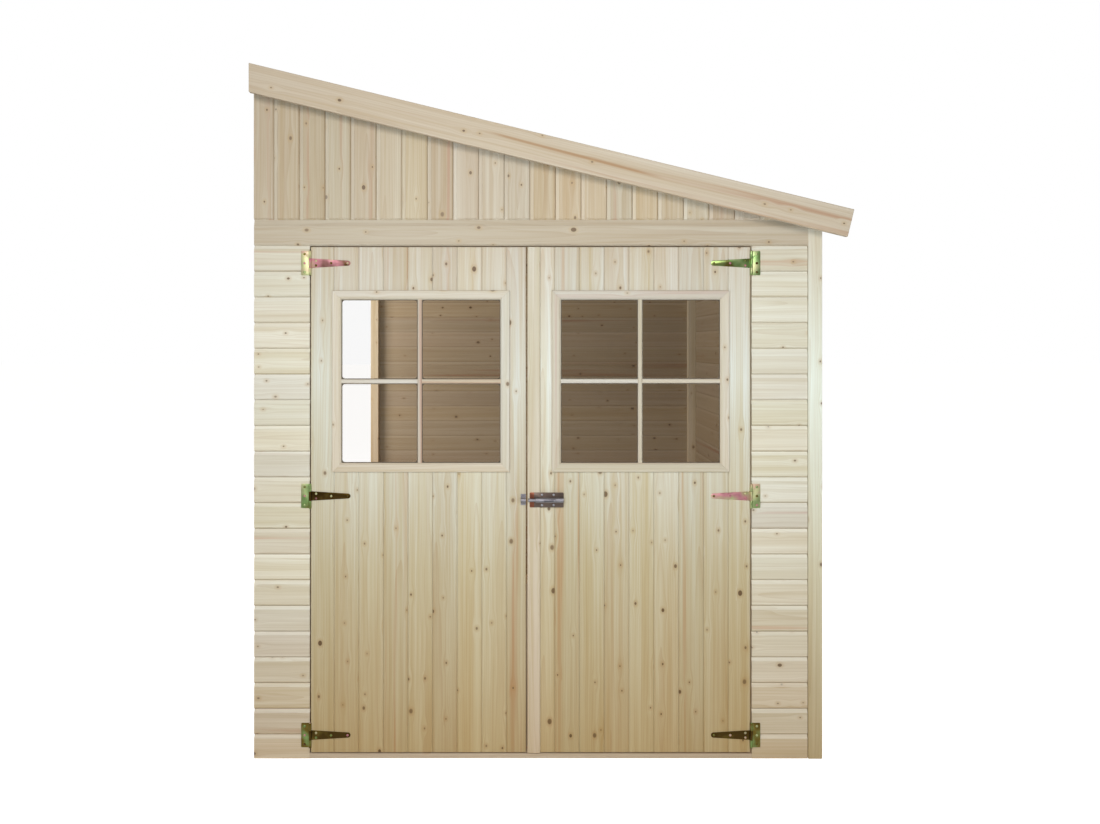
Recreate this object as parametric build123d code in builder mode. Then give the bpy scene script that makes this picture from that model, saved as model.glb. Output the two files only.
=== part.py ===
from build123d import *
import math
import os

os.makedirs("parts", exist_ok=True)

# Lean-to garden shed, open on the side that stands against a house wall.
# The front faces -Y, the house wall is at -X, the eave is at +X and +Z is up.
# All sizes are in millimetres.

# Whole building
wall_width = 1950  # from the house wall to the outer face of the side wall
wall_depth = 2300  # from the outer face of the front wall to that of the back wall
roof_top_height = 2370  # top of the deck at the house wall
roof_pitch = 13.6  # degrees, falling from the house wall to the eave
eave_overhang = 90  # deck past the side wall
verge_overhang = 60  # fascia's outer face past the front and back walls

# Boards and timbers
cladding_thickness = 16
gable_board_thickness = 18
deck_thickness = 16
fascia_height = 95  # measured square to the slope
fascia_thickness = 18
timber_size = 45  # posts, jambs, studs and rails
beam_depth = 110  # beam along the house wall
purlin_depth = 70
purlin_count = 2
side_plate_depth = 60
corner_trim_width = 48
corner_trim_thickness = 20

# Doorway
gable_low_end = 44  # height of the gable's boards beside the corner trim
header_height = 89
left_panel_width = 191  # from the house wall to the doorway
right_panel_width = 193  # from the doorway to the corner trim
meeting_shift = 14  # the leaves meet this far left of the doorway's middle
threshold_height = 17
door_gap = 5  # around each leaf

# Door leaves
leaf_thickness = 16
ledge_height = 70
ledge_thickness = 20
ledge_inset = 25  # ledge ends behind the leaf's hinge edge
ledge_meeting_inset = 10  # ledge ends behind the leaf's meeting edge
bottom_hinge_rise = 59  # middle of the bottom hinge above the leaf's foot
middle_hinge_drop = 114  # middle of the middle hinge below the glass
top_hinge_drop = 55  # middle of the top hinge below the leaf's top
cover_strip_width = 44.5
cover_strip_thickness = 8
cover_strip_step = 3  # step along the middle of the moulding

# Windows in the leaves
glass_height = 560
glass_drop = 180  # from the leaf's top to the visible glass
hinge_stile = 105  # from the leaf's hinge edge to the glass
left_meeting_stile = 87  # from the left leaf's meeting edge to the glass
right_meeting_stile = 70.5  # from the cover strip to the glass of the right leaf
rebate = 10  # the pane and its hole reach this far behind the casing
pane_thickness = 4
pane_clearance = 2
casing_width = 31
casing_thickness = 11
casing_bevel = 5

# T-hinges
hinge_plate_thickness = 2.5
hinge_leaf_width = 31
hinge_leaf_height = 83
strap_length = 138
strap_root_height = 32
strap_tip_height = 17
knuckle_radius = 4.5
hinge_pin_radius = 2.2
hinge_pin_clearance = 0.05
knuckle_gap = 0.5
hinge_pin_overhang = 1.5

# Barrel bolt
bolt_drop = 126  # middle of the bolt below the glass
bolt_plate_height = 51
bolt_plate_thickness = 2
bolt_plate_lap = 36.5  # the plate reaches this far over the cover strip
barrel_inset = 20  # bare end of the plate towards the keeper
barrel_length = 96
barrel_radius = 8.5
rod_radius = 6
rod_clearance = 0.4
rod_length = 114
rod_tip_reach = 5  # the drawn rod's tip past the plate's end
bolt_throw = 30
knob_radius = 3.5
knob_height = 13  # from the rod's axis
knob_offset = 64  # from the barrel's keeper end to the knob, with the rod drawn
backing_inset = 3
keeper_width = 17
keeper_edge_distance = 0.5  # from the left leaf's edge
keeper_thickness = 2
keeper_clearance = 1
keeper_foot = 10

# Places that follow from the sizes above
slope = math.tan(math.radians(roof_pitch))
across_slope = 1 / math.cos(math.radians(roof_pitch))  # plumb height of one unit square to the slope
house_x = -(wall_width + eave_overhang) / 2
side_x = house_x + wall_width
eave_x = side_x + eave_overhang
front_y = -wall_depth / 2
back_y = wall_depth / 2
front_frame_y = front_y + cladding_thickness
back_frame_y = back_y - cladding_thickness
front_inner_y = front_frame_y + timber_size
back_inner_y = back_frame_y - timber_size
side_frame_x = side_x - cladding_thickness
side_inner_x = side_frame_x - timber_size
trim_x = side_x - corner_trim_width
opening_left_x = house_x + left_panel_width
opening_right_x = trim_x - right_panel_width
meeting_x = (opening_left_x + opening_right_x) / 2 - meeting_shift
deck_reach_y = wall_depth / 2 + verge_overhang - fascia_thickness
middle_stud_x = (house_x + side_x - timber_size) / 2


def deck_top(x):
    return roof_top_height - (x - house_x) * slope


def deck_under(x):
    return deck_top(x) - deck_thickness * across_slope


def rail_under(x):
    return deck_under(x) - timber_size * across_slope


def seen_from_front(y):
    # upright plane at this y; an extrusion from it comes forwards
    return Plane.XZ.offset(-y)


def save(piece, name):
    piece.part.label = name
    export_step(piece.part, f"parts/{name}.step")


def straight_piece(name, x_range, y_range, z_range):
    # a straight board or timber
    x_low, x_high = x_range
    y_low, y_high = y_range
    z_low, z_high = z_range
    with BuildPart() as piece:
        with BuildSketch(seen_from_front(y_high)):
            with Locations(((x_low + x_high) / 2, (z_low + z_high) / 2)):
                Rectangle(x_high - x_low, z_high - z_low)
        extrude(amount=y_high - y_low)
    save(piece, name)


def piece_under_roof(name, x_range, y_range, z_low, top):
    # a board or timber with a level foot and a top cut to the slope
    x_low, x_high = x_range
    y_low, y_high = y_range
    corners = [(x_low, z_low), (x_high, z_low), (x_high, top(x_high)), (x_low, top(x_low))]
    with BuildPart() as piece:
        with BuildSketch(seen_from_front(y_high)):
            Polygon(*corners, align=None)
        extrude(amount=y_high - y_low)
    save(piece, name)


def sloping_piece(name, x_low, run, depth, y_range, top):
    # plumb at its upper end and cut square to the slope at its lower end
    y_low, y_high = y_range
    x_high = x_low + run
    foot_x = x_high - depth * math.sin(math.radians(roof_pitch))
    foot_z = top(x_high) - depth * math.cos(math.radians(roof_pitch))
    corners = [
        (x_low, top(x_low)),
        (x_low, top(x_low) - depth * across_slope),
        (foot_x, foot_z),
        (x_high, top(x_high)),
    ]
    with BuildPart() as piece:
        with BuildSketch(seen_from_front(y_high)):
            Polygon(*corners, align=None)
        extrude(amount=y_high - y_low)
    save(piece, name)


header_top = deck_under(trim_x) - gable_low_end
opening_height = header_top - header_height

# Front wall, outside
front_cladding_y = (front_y, front_frame_y)
straight_piece("front_left_panel", (house_x, opening_left_x), front_cladding_y, (0, opening_height))
straight_piece("front_right_panel", (opening_right_x, trim_x), front_cladding_y, (0, opening_height))
straight_piece("front_header", (house_x, trim_x), front_cladding_y, (opening_height, header_top))
piece_under_roof(
    "front_gable",
    (house_x, trim_x),
    (front_frame_y - gable_board_thickness, front_frame_y),
    header_top,
    deck_under,
)
piece_under_roof(
    "front_corner_trim",
    (trim_x, side_x),
    (front_frame_y - corner_trim_thickness, front_frame_y),
    0,
    deck_under,
)
straight_piece(
    "door_threshold",
    (opening_left_x, opening_right_x),
    (front_y, front_inner_y),
    (0, threshold_height),
)

# Front wall, frame
front_frame = (front_frame_y, front_inner_y)
head_rail_top = opening_height + timber_size
left_post_x = (house_x, house_x + timber_size)
side_frame = (side_inner_x, side_frame_x)
left_jamb_x = (opening_left_x - timber_size, opening_left_x)
right_jamb_x = (opening_right_x, opening_right_x + timber_size)
piece_under_roof("front_left_post", left_post_x, front_frame, 0, rail_under)
piece_under_roof("front_corner_post", side_frame, front_frame, 0, rail_under)
straight_piece("front_left_jamb", left_jamb_x, front_frame, (0, opening_height))
straight_piece("front_right_jamb", right_jamb_x, front_frame, (0, opening_height))
straight_piece("front_head_rail", (left_post_x[1], side_inner_x), front_frame, (opening_height, head_rail_top))
piece_under_roof(
    "front_gable_stud",
    (middle_stud_x, middle_stud_x + timber_size),
    front_frame,
    head_rail_top,
    rail_under,
)

# Side wall at the eave
side_plate_low = deck_under(side_frame_x) - side_plate_depth
piece_under_roof("side_wall", (side_frame_x, side_x), (front_frame_y, back_frame_y), 0, deck_under)
straight_piece("side_bottom_rail", side_frame, (front_inner_y, back_inner_y), (0, timber_size))
piece_under_roof("side_top_plate", side_frame, (front_inner_y, back_inner_y), side_plate_low, deck_under)
straight_piece("side_stud", side_frame, (-timber_size / 2, timber_size / 2), (timber_size, side_plate_low))

# Back wall
back_frame = (back_inner_y, back_frame_y)
piece_under_roof("back_wall", (house_x, trim_x), (back_frame_y, back_y), 0, deck_under)
piece_under_roof(
    "back_corner_trim",
    (trim_x, side_x),
    (back_frame_y, back_frame_y + corner_trim_thickness),
    0,
    deck_under,
)
piece_under_roof("back_left_post", left_post_x, back_frame, 0, rail_under)
piece_under_roof("back_corner_post", side_frame, back_frame, 0, rail_under)
straight_piece("back_bottom_rail", (left_post_x[1], side_inner_x), back_frame, (0, timber_size))
piece_under_roof(
    "back_middle_stud",
    (middle_stud_x, middle_stud_x + timber_size),
    back_frame,
    timber_size,
    rail_under,
)

# Roof
for wall_name, frame_y in (("front", front_frame), ("back", back_frame)):
    top_rail_corners = [
        (house_x, rail_under(house_x)),
        (side_frame_x, rail_under(side_frame_x)),
        (side_frame_x, deck_under(side_frame_x)),
        (house_x, deck_under(house_x)),
    ]
    with BuildPart() as top_rail:
        with BuildSketch(seen_from_front(frame_y[1])):
            Polygon(*top_rail_corners, align=None)
        extrude(amount=timber_size)
    save(top_rail, f"{wall_name}_top_rail")

frame_length = (front_inner_y, back_inner_y)
beam_low = deck_under(left_post_x[1]) - beam_depth
piece_under_roof("house_beam", left_post_x, frame_length, beam_low, deck_under)

purlin_bay = (side_inner_x - left_post_x[1]) / (purlin_count + 1)
purlin_places = [left_post_x[1] + bay * purlin_bay for bay in range(1, purlin_count + 1)]
with BuildPart() as purlins:
    with BuildSketch(seen_from_front(back_inner_y)):
        with Locations([(x, deck_under(x)) for x in purlin_places]):
            Rectangle(timber_size, purlin_depth, rotation=-roof_pitch, align=(Align.CENTER, Align.MAX))
    extrude(amount=back_inner_y - front_inner_y)
save(purlins, "purlins")

roof_run = eave_x - house_x
sloping_piece("roof_deck", house_x, roof_run, deck_thickness, (-deck_reach_y, deck_reach_y), deck_top)
front_fascia_y = (-deck_reach_y - fascia_thickness, -deck_reach_y)
back_fascia_y = (deck_reach_y, deck_reach_y + fascia_thickness)
sloping_piece("front_fascia", house_x, roof_run, fascia_height, front_fascia_y, deck_top)
sloping_piece("back_fascia", house_x, roof_run, fascia_height, back_fascia_y, deck_top)

# Door leaves: boards with a window hole, ledges, casing and pane.
# towards_middle is +1 on the left leaf and -1 on the right one.
leaf_low = threshold_height + door_gap
leaf_high = opening_height - door_gap
leaf_back_y = front_y + leaf_thickness
glass_low = leaf_high - glass_drop - glass_height
glass_middle = glass_low + glass_height / 2
hinge_heights = (leaf_low + bottom_hinge_rise, glass_low - middle_hinge_drop, leaf_high - top_hinge_drop)
hinge_axis_y = front_y - knuckle_radius


def door_leaf(side, hinge_edge_x, meeting_edge_x, meeting_stile, towards_middle):
    leaf_middle_x = (hinge_edge_x + meeting_edge_x) / 2
    leaf_width = abs(meeting_edge_x - hinge_edge_x)
    glass_width = leaf_width - hinge_stile - meeting_stile
    window_x = hinge_edge_x + towards_middle * (hinge_stile + glass_width / 2)

    with BuildPart() as boards:
        with BuildSketch(seen_from_front(leaf_back_y)):
            with Locations((leaf_middle_x, (leaf_low + leaf_high) / 2)):
                Rectangle(leaf_width, leaf_high - leaf_low)
            with Locations((window_x, glass_middle)):
                Rectangle(glass_width + 2 * rebate, glass_height + 2 * rebate, mode=Mode.SUBTRACT)
        extrude(amount=leaf_thickness)
    save(boards, f"{side}_door_boards")

    ledge_start = hinge_edge_x + towards_middle * ledge_inset
    ledge_end = meeting_edge_x - towards_middle * ledge_meeting_inset
    with BuildPart() as ledges:
        with BuildSketch(seen_from_front(leaf_back_y + ledge_thickness)):
            with Locations([((ledge_start + ledge_end) / 2, height) for height in hinge_heights]):
                Rectangle(abs(ledge_end - ledge_start), ledge_height)
        extrude(amount=ledge_thickness)
    save(ledges, f"{side}_door_ledges")

    with BuildPart() as casing:
        with BuildSketch(seen_from_front(front_y)):
            with Locations((window_x, glass_middle)):
                Rectangle(glass_width + 2 * casing_width, glass_height + 2 * casing_width)
                Rectangle(glass_width, glass_height, mode=Mode.SUBTRACT)
        extrude(amount=casing_thickness)
        front_edges = casing.faces().sort_by(Axis.Y)[0].inner_wires()[0].edges()
        chamfer(front_edges, casing_bevel)
    save(casing, f"{side}_window_casing")

    pane_width = glass_width + 2 * (rebate - pane_clearance)
    pane_height = glass_height + 2 * (rebate - pane_clearance)
    with BuildPart() as pane:
        with BuildSketch(seen_from_front(front_y + pane_thickness)):
            with Locations((window_x, glass_middle)):
                Rectangle(pane_width, pane_height)
        extrude(amount=pane_thickness)
    save(pane, f"{side}_window_pane")


left_hinge_edge_x = opening_left_x + door_gap
left_meeting_edge_x = meeting_x - door_gap / 2
right_meeting_edge_x = meeting_x + door_gap / 2
right_hinge_edge_x = opening_right_x - door_gap
left_axis_x = opening_left_x + door_gap / 2
right_axis_x = opening_right_x - door_gap / 2
door_leaf("left", left_hinge_edge_x, left_meeting_edge_x, left_meeting_stile, 1)
door_leaf("right", right_hinge_edge_x, right_meeting_edge_x, cover_strip_width + right_meeting_stile, -1)

# T-hinges: the fixed leaves with their knuckles and pins, and the straps on the doors
with BuildPart() as hinge_leaves:
    for axis_x, towards_middle in ((left_axis_x, 1), (right_axis_x, -1)):
        plate_middle_x = axis_x - towards_middle * hinge_leaf_width / 2
        with BuildSketch(seen_from_front(front_y)):
            with Locations([(plate_middle_x, height) for height in hinge_heights]):
                Rectangle(hinge_leaf_width, hinge_leaf_height)
                with Locations((towards_middle * hinge_leaf_width / 2, 0)):
                    Rectangle(
                        2 * knuckle_radius,
                        strap_root_height + 2 * knuckle_gap,
                        mode=Mode.SUBTRACT,
                    )
    extrude(amount=hinge_plate_thickness)
    fixed_knuckle = (hinge_leaf_height - strap_root_height) / 2 - knuckle_gap
    for axis_x in (left_axis_x, right_axis_x):
        for height in hinge_heights:
            lower_knuckle = height - hinge_leaf_height / 2
            upper_knuckle = height + strap_root_height / 2 + knuckle_gap
            for knuckle_low in (lower_knuckle, upper_knuckle):
                with BuildSketch(Plane.XY.offset(knuckle_low)):
                    with Locations((axis_x, hinge_axis_y)):
                        Circle(knuckle_radius)
                extrude(amount=fixed_knuckle)
            with BuildSketch(Plane.XY.offset(lower_knuckle - hinge_pin_overhang)):
                with Locations((axis_x, hinge_axis_y)):
                    Circle(hinge_pin_radius)
            extrude(amount=hinge_leaf_height + 2 * hinge_pin_overhang)
save(hinge_leaves, "hinge_leaves")


def hinge_straps(side, axis_x, towards_middle):
    tip_radius = strap_tip_height / 2
    tip_x = axis_x + towards_middle * (strap_length - tip_radius)
    with BuildPart() as straps:
        with BuildSketch(seen_from_front(front_y)):
            for height in hinge_heights:
                Polygon(
                    (axis_x, height - strap_root_height / 2),
                    (tip_x, height - tip_radius),
                    (tip_x, height + tip_radius),
                    (axis_x, height + strap_root_height / 2),
                    align=None,
                )
            with Locations([(tip_x, height) for height in hinge_heights]):
                Circle(tip_radius)
        extrude(amount=hinge_plate_thickness)
        for height in hinge_heights:
            with BuildSketch(Plane.XY.offset(height - strap_root_height / 2)):
                with Locations((axis_x, hinge_axis_y)):
                    Circle(knuckle_radius)
            extrude(amount=strap_root_height)
        with Locations((axis_x, hinge_axis_y, opening_height)):
            Hole(hinge_pin_radius + hinge_pin_clearance, opening_height)
    save(straps, f"{side}_hinge_straps")


hinge_straps("left", left_axis_x, 1)
hinge_straps("right", right_axis_x, -1)

# Moulded strip that covers the meeting gap's edge of the right leaf
strip_front_y = front_y - cover_strip_thickness
with BuildPart() as cover_strip:
    with BuildSketch(Plane.XY.offset(leaf_low)):
        with BuildLine():
            Polyline(
                (right_meeting_edge_x, front_y),
                (right_meeting_edge_x + cover_strip_width, front_y),
                (right_meeting_edge_x + cover_strip_width, strip_front_y + cover_strip_step),
                (right_meeting_edge_x + cover_strip_width - cover_strip_step, strip_front_y),
                (right_meeting_edge_x + cover_strip_step, strip_front_y),
                (right_meeting_edge_x, strip_front_y + cover_strip_step),
                close=True,
            )
        make_face()
    extrude(amount=leaf_high - leaf_low)
save(cover_strip, "cover_strip")

# Barrel bolt on the right leaf. Its plate lies on the cover strip and on a backing of the same thickness.
strip_edge_x = right_meeting_edge_x + cover_strip_width
bolt_height = glass_low - bolt_drop
plate_low_x = strip_edge_x - bolt_plate_lap
barrel_low_x = plate_low_x + barrel_inset
plate_high_x = barrel_low_x + barrel_length
rod_y = strip_front_y - barrel_radius
knob_x = barrel_low_x + knob_offset
backing_half_height = bolt_plate_height / 2 - backing_inset
straight_piece(
    "bolt_backing",
    (strip_edge_x, plate_high_x - backing_inset),
    (strip_front_y, front_y),
    (bolt_height - backing_half_height, bolt_height + backing_half_height),
)

with BuildPart() as bolt_barrel:
    with BuildSketch(seen_from_front(strip_front_y)):
        with Locations(((plate_low_x + plate_high_x) / 2, bolt_height)):
            Rectangle(plate_high_x - plate_low_x, bolt_plate_height)
    extrude(amount=bolt_plate_thickness)
    with BuildSketch(Plane.YZ.offset(barrel_low_x)):
        with Locations((rod_y, bolt_height)):
            Circle(barrel_radius)
    extrude(amount=barrel_length)
    with BuildSketch(Plane.YZ.offset(barrel_low_x)):
        with Locations((rod_y, bolt_height)):
            Circle(rod_radius + rod_clearance)
    extrude(amount=barrel_length, mode=Mode.SUBTRACT)
    with BuildSketch(seen_from_front(rod_y)):
        with Locations((knob_x - bolt_throw / 2, bolt_height)):
            SlotCenterToCenter(bolt_throw, 2 * (knob_radius + rod_clearance))
    extrude(amount=barrel_radius, mode=Mode.SUBTRACT)
save(bolt_barrel, "bolt_barrel")

with BuildPart() as bolt_rod:
    with BuildSketch(Plane.YZ.offset(plate_low_x - rod_tip_reach)):
        with Locations((rod_y, bolt_height)):
            Circle(rod_radius)
    extrude(amount=rod_length)
    with BuildSketch(seen_from_front(rod_y)):
        with Locations((knob_x, bolt_height)):
            Circle(knob_radius)
    extrude(amount=knob_height)
save(bolt_rod, "bolt_rod")

# Keeper on the left leaf: a loop of strip metal with two feet, open along the bolt
keeper_high_x = left_meeting_edge_x - keeper_edge_distance
loop_inner = rod_radius + keeper_clearance
loop_outer = loop_inner + keeper_thickness
with BuildPart() as bolt_keeper:
    with BuildSketch(Plane.YZ.offset(keeper_high_x - keeper_width)):
        with Locations((rod_y, bolt_height)):
            Circle(loop_outer)
        with Locations(((rod_y + front_y) / 2, bolt_height)):
            Rectangle(front_y - rod_y, 2 * loop_outer)
        with Locations((front_y - keeper_thickness / 2, bolt_height)):
            Rectangle(keeper_thickness, 2 * (loop_outer + keeper_foot))
        with Locations((rod_y, bolt_height)):
            Circle(loop_inner, mode=Mode.SUBTRACT)
        with Locations(((rod_y + front_y) / 2, bolt_height)):
            Rectangle(front_y - rod_y, 2 * loop_inner, mode=Mode.SUBTRACT)
    extrude(amount=keeper_width)
save(bolt_keeper, "bolt_keeper")

print("hinge axes at x", left_axis_x, right_axis_x, "y", hinge_axis_y)
print("doorway height", opening_height, "bolt height", bolt_height)
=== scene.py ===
# %% [markdown]
# A lean-to garden shed of planed, unpainted spruce. Its solids come from the CAD model, which
# is loaded first and stays where it is. Everything below dresses those solids: boards with their
# joints, timbers with eased edges, mitred window casings, hinges, screws and a barrel bolt.
# The alternative would be to model the shed again from nothing, but then the two could drift
# apart, so each piece takes its place from the box of the solid that it stands for.

# %% Load the frame and note its box
import math
import random

import bmesh
import bpy
import numpy as np
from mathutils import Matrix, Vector


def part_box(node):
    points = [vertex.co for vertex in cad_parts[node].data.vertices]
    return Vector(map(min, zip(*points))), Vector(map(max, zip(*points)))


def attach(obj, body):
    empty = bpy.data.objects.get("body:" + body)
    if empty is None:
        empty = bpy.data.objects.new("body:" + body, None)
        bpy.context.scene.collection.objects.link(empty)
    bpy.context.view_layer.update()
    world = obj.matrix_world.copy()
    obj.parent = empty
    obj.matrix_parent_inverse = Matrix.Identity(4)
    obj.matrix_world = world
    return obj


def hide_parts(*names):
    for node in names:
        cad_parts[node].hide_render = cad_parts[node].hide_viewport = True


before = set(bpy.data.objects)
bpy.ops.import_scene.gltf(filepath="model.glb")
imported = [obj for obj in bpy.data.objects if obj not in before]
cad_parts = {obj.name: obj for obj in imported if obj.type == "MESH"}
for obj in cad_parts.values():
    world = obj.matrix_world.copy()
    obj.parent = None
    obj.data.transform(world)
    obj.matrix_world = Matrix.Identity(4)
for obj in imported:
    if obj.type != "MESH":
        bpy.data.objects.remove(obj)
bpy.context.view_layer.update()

MM = 0.001
RIGHT = Vector((1, 0, 0))
BACK = Vector((0, 1, 0))
UP = Vector((0, 0, 1))
FRONT = -BACK

house_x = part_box("front_left_panel")[0].x
side_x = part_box("side_wall")[1].x
print("frame loaded, wall from x", round(house_x, 4), "to", round(side_x, 4))

# %% [markdown]
# The photograph looks straight at the front wall, so the wall's pixels give one scale for the
# whole wall. A level camera keeps the posts upright. Tilting it would make them lean together,
# so the lens is shifted instead, which is what an architectural photographer does.

# %% Camera from the photograph
image_width, image_height = 1100, 824
wall_left_px, wall_right_px = 254, 822
wall_base_px = 758.5
horizon_px, vanishing_px = 345, 530
camera_distance = 3.055
sensor_width = 36

metres_per_pixel = (side_x - house_x) / (wall_right_px - wall_left_px)
wall_face_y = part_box("front_left_panel")[0].y


def photo_x(pixel):
    """The x on the front wall that a column of the photograph shows."""
    return house_x + (pixel - wall_left_px) * metres_per_pixel


def photo_z(pixel):
    """The height on the front wall that a row of the photograph shows."""
    return (wall_base_px - pixel) * metres_per_pixel


camera_data = bpy.data.cameras.new("camera")
camera_data.sensor_width = sensor_width
camera_data.lens = camera_distance / (image_width * metres_per_pixel) * sensor_width
camera_data.shift_x = (image_width / 2 - vanishing_px) / image_width
camera_data.shift_y = (horizon_px - image_height / 2) / image_width
camera = bpy.data.objects.new("camera", camera_data)
camera.location = (photo_x(vanishing_px), wall_face_y - camera_distance, photo_z(horizon_px))
camera.rotation_euler = (math.radians(90), 0, 0)
bpy.context.scene.collection.objects.link(camera)
bpy.context.scene.camera = camera
print("lens", round(camera_data.lens, 2), "mm, camera at", [round(c, 3) for c in camera.location])

# %% [markdown]
# Colours are picked as sRGB hex values, because that is how a photograph or a paint chart gives
# them. Shaders work in linear light, so one function turns the first into the second.
# Nodes are added by one function too: it sets what a node is told and links what it is given.
# Each link could be written out, but then the wiring would hide what a material is made of.

# %% Colours and nodes
def colour(hex_value):
    """An sRGB hex value such as #E9DFC6, as linear red, green, blue and alpha."""
    parts = [int(hex_value[i:i + 2], 16) / 255 for i in (1, 3, 5)]
    linear = [c / 12.92 if c <= 0.04045 else ((c + 0.055) / 1.055) ** 2.4 for c in parts]
    return (*linear, 1.0)


def feed(tree, node, inputs):
    """Gives a node its inputs, by name, or by number among those in use.

    Each is a value, a socket, or another node, which stands for its first output in use."""
    in_use = [socket for socket in node.inputs if socket.enabled]
    for key, value in inputs.items():
        socket = in_use[key] if isinstance(key, int) else node.inputs[key]
        if isinstance(value, bpy.types.Node):
            value = next(output for output in value.outputs if output.enabled)
        if isinstance(value, bpy.types.NodeSocket):
            tree.links.new(value, socket)
        else:
            socket.default_value = value


def add_node(tree, kind, *inputs, stops=(), **named):
    """Adds a node. Its inputs go in order, or by names that start with a capital.

    Other names are settings. The stops of a colour ramp are positions with hex values."""
    node = tree.nodes.new("ShaderNode" + kind)
    for name, value in named.items():
        if name[0].islower():
            setattr(node, name, value)
    feed(tree, node, dict(enumerate(inputs)))
    feed(tree, node, {name: value for name, value in named.items() if name[0].isupper()})
    for number, (position, hex_value) in enumerate(stops):
        elements = node.color_ramp.elements
        element = elements[number] if number < len(elements) else elements.new(position)
        element.position = position
        element.color = colour(hex_value)
    return node


def new_material(name):
    """An empty material, its tree and its surface shader."""
    material = bpy.data.materials.new(name)
    material.use_nodes = True
    tree = material.node_tree
    return material, tree, tree.nodes["Principled BSDF"]


# %% [markdown]
# Planed spruce is pale wood cut lengthwise from a log. The eye sees long soft streaks, thin
# growth lines that swerve round small dark knots, and boards that differ from each other in tone.
# A picture of wood would do, but it can't follow each board, so the pattern is worked out from
# each board's own directions: every board carries its grain coordinates, in metres along, across
# and through it, and three random numbers that make it a board of its own.
# The knots come first. They are scattered points, each with a random size, and some are left out.
# A knot is an oval with a dark edge, a paler middle and a halo of browner wood. The grain swerves
# round it, so the lines that are drawn later are pushed away from its middle.

# %% Knots
KNOT_SPACING = 150 * MM  # along a board, between places where a knot may be
KNOT_ROW = 55 * MM  # across a board
KNOT_SMALLEST, KNOT_GROWTH = 2.2 * MM, 5.5 * MM
KNOT_EDGE = (0.9 * MM, -1.2 * MM)  # from no knot to full knot, in distance outside its edge
KNOT_MIDDLE = (-0.8 * MM, -3.5 * MM)
KNOT_HALO = (10 * MM, 0)
KNOT_OVAL = (0.75, 1, 0)  # a knot is longer along the board
KNOT_DARKNESS = (0.45, 0.95)
MIDDLE_STRENGTH, HALO_STRENGTH = 0.55, 0.34
SWERVE_OVAL = (0.3, 0.8, 0)
SWERVE_FADE = (18 * MM, 2 * MM)
SWERVE_STRENGTH = 0.9


def knots(tree, place, knot_share):
    """The knots near a place: their cover, the push they give the grain, and their colours."""
    cells = add_node(
        tree, "VectorMath", place, (1 / KNOT_SPACING, 1 / KNOT_ROW, 0), operation="MULTIPLY",
    )
    scatter = add_node(
        tree, "TexVoronoi", Vector=cells, Scale=1, Randomness=1, voronoi_dimensions="2D",
    )
    away = add_node(tree, "VectorMath", cells, scatter.outputs["Position"], operation="SUBTRACT")
    from_knot = add_node(
        tree, "VectorMath", away, (KNOT_SPACING, KNOT_ROW, 0), operation="MULTIPLY",
    )
    luck = add_node(tree, "SeparateColor", scatter.outputs["Color"]).outputs
    size = add_node(tree, "Math", luck[0], 3.5, operation="POWER")
    radius = add_node(tree, "Math", size, KNOT_GROWTH, KNOT_SMALLEST, operation="MULTIPLY_ADD")
    missing = add_node(tree, "Math", luck[1], knot_share, operation="GREATER_THAN")
    oval = add_node(tree, "VectorMath", from_knot, KNOT_OVAL, operation="MULTIPLY")
    reach = add_node(tree, "VectorMath", oval, operation="LENGTH")
    edge = add_node(tree, "Math", reach, radius, operation="SUBTRACT")
    outside = add_node(tree, "Math", edge, missing, operation="ADD")
    knot, middle, halo = [
        add_node(tree, "MapRange", outside, start, end, interpolation_type="SMOOTHSTEP")
        for start, end in (KNOT_EDGE, KNOT_MIDDLE, KNOT_HALO)
    ]
    darkness = add_node(tree, "MapRange", luck[2], 0, 1, *KNOT_DARKNESS)
    shares = [
        add_node(tree, "Math", cover, strength, operation="MULTIPLY")
        for cover, strength in (
            (halo, HALO_STRENGTH), (knot, darkness), (middle, MIDDLE_STRENGTH),
        )
    ]
    long_oval = add_node(tree, "VectorMath", from_knot, SWERVE_OVAL, operation="MULTIPLY")
    swerve_reach = add_node(tree, "VectorMath", long_oval, operation="LENGTH")
    swerve = add_node(
        tree, "MapRange", swerve_reach, *SWERVE_FADE, 0, SWERVE_STRENGTH,
        interpolation_type="SMOOTHSTEP",
    )
    present = add_node(tree, "Math", 1, missing, operation="SUBTRACT")
    swerve_here = add_node(tree, "Math", swerve, present, operation="MULTIPLY")
    sideways = add_node(tree, "VectorMath", from_knot, (0, -1, 0), operation="MULTIPLY")
    push = add_node(tree, "VectorMath", sideways, Scale=swerve_here, operation="SCALE")
    return knot, push, list(zip(shares, ("#BC9C70", "#5F4A36", "#7B6148")))


# %% [markdown]
# Growth rings are circles about the log's heart, which lies somewhere behind each board, and a
# plane cut through them gives the arched figure by itself. A slow noise lets them wander.
# Real rings are about 3 mm apart, which is less than a pixel of the front view, so they are drawn
# 6 mm apart to show. Fibres and broad streaks are noise that is drawn out along the board.

# %% Growth rings and fibres
RING_SPACING = 6 * MM
RING_WANDER = 26 * MM
RING_STRETCH = (0.02, 1, 1)  # rings hardly change along the board
LINE_SHARPNESS = 4
HEART_SPREAD, HEART_NEAREST = (0, 0.11, 0.05), (0, -0.055, -0.075)


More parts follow.
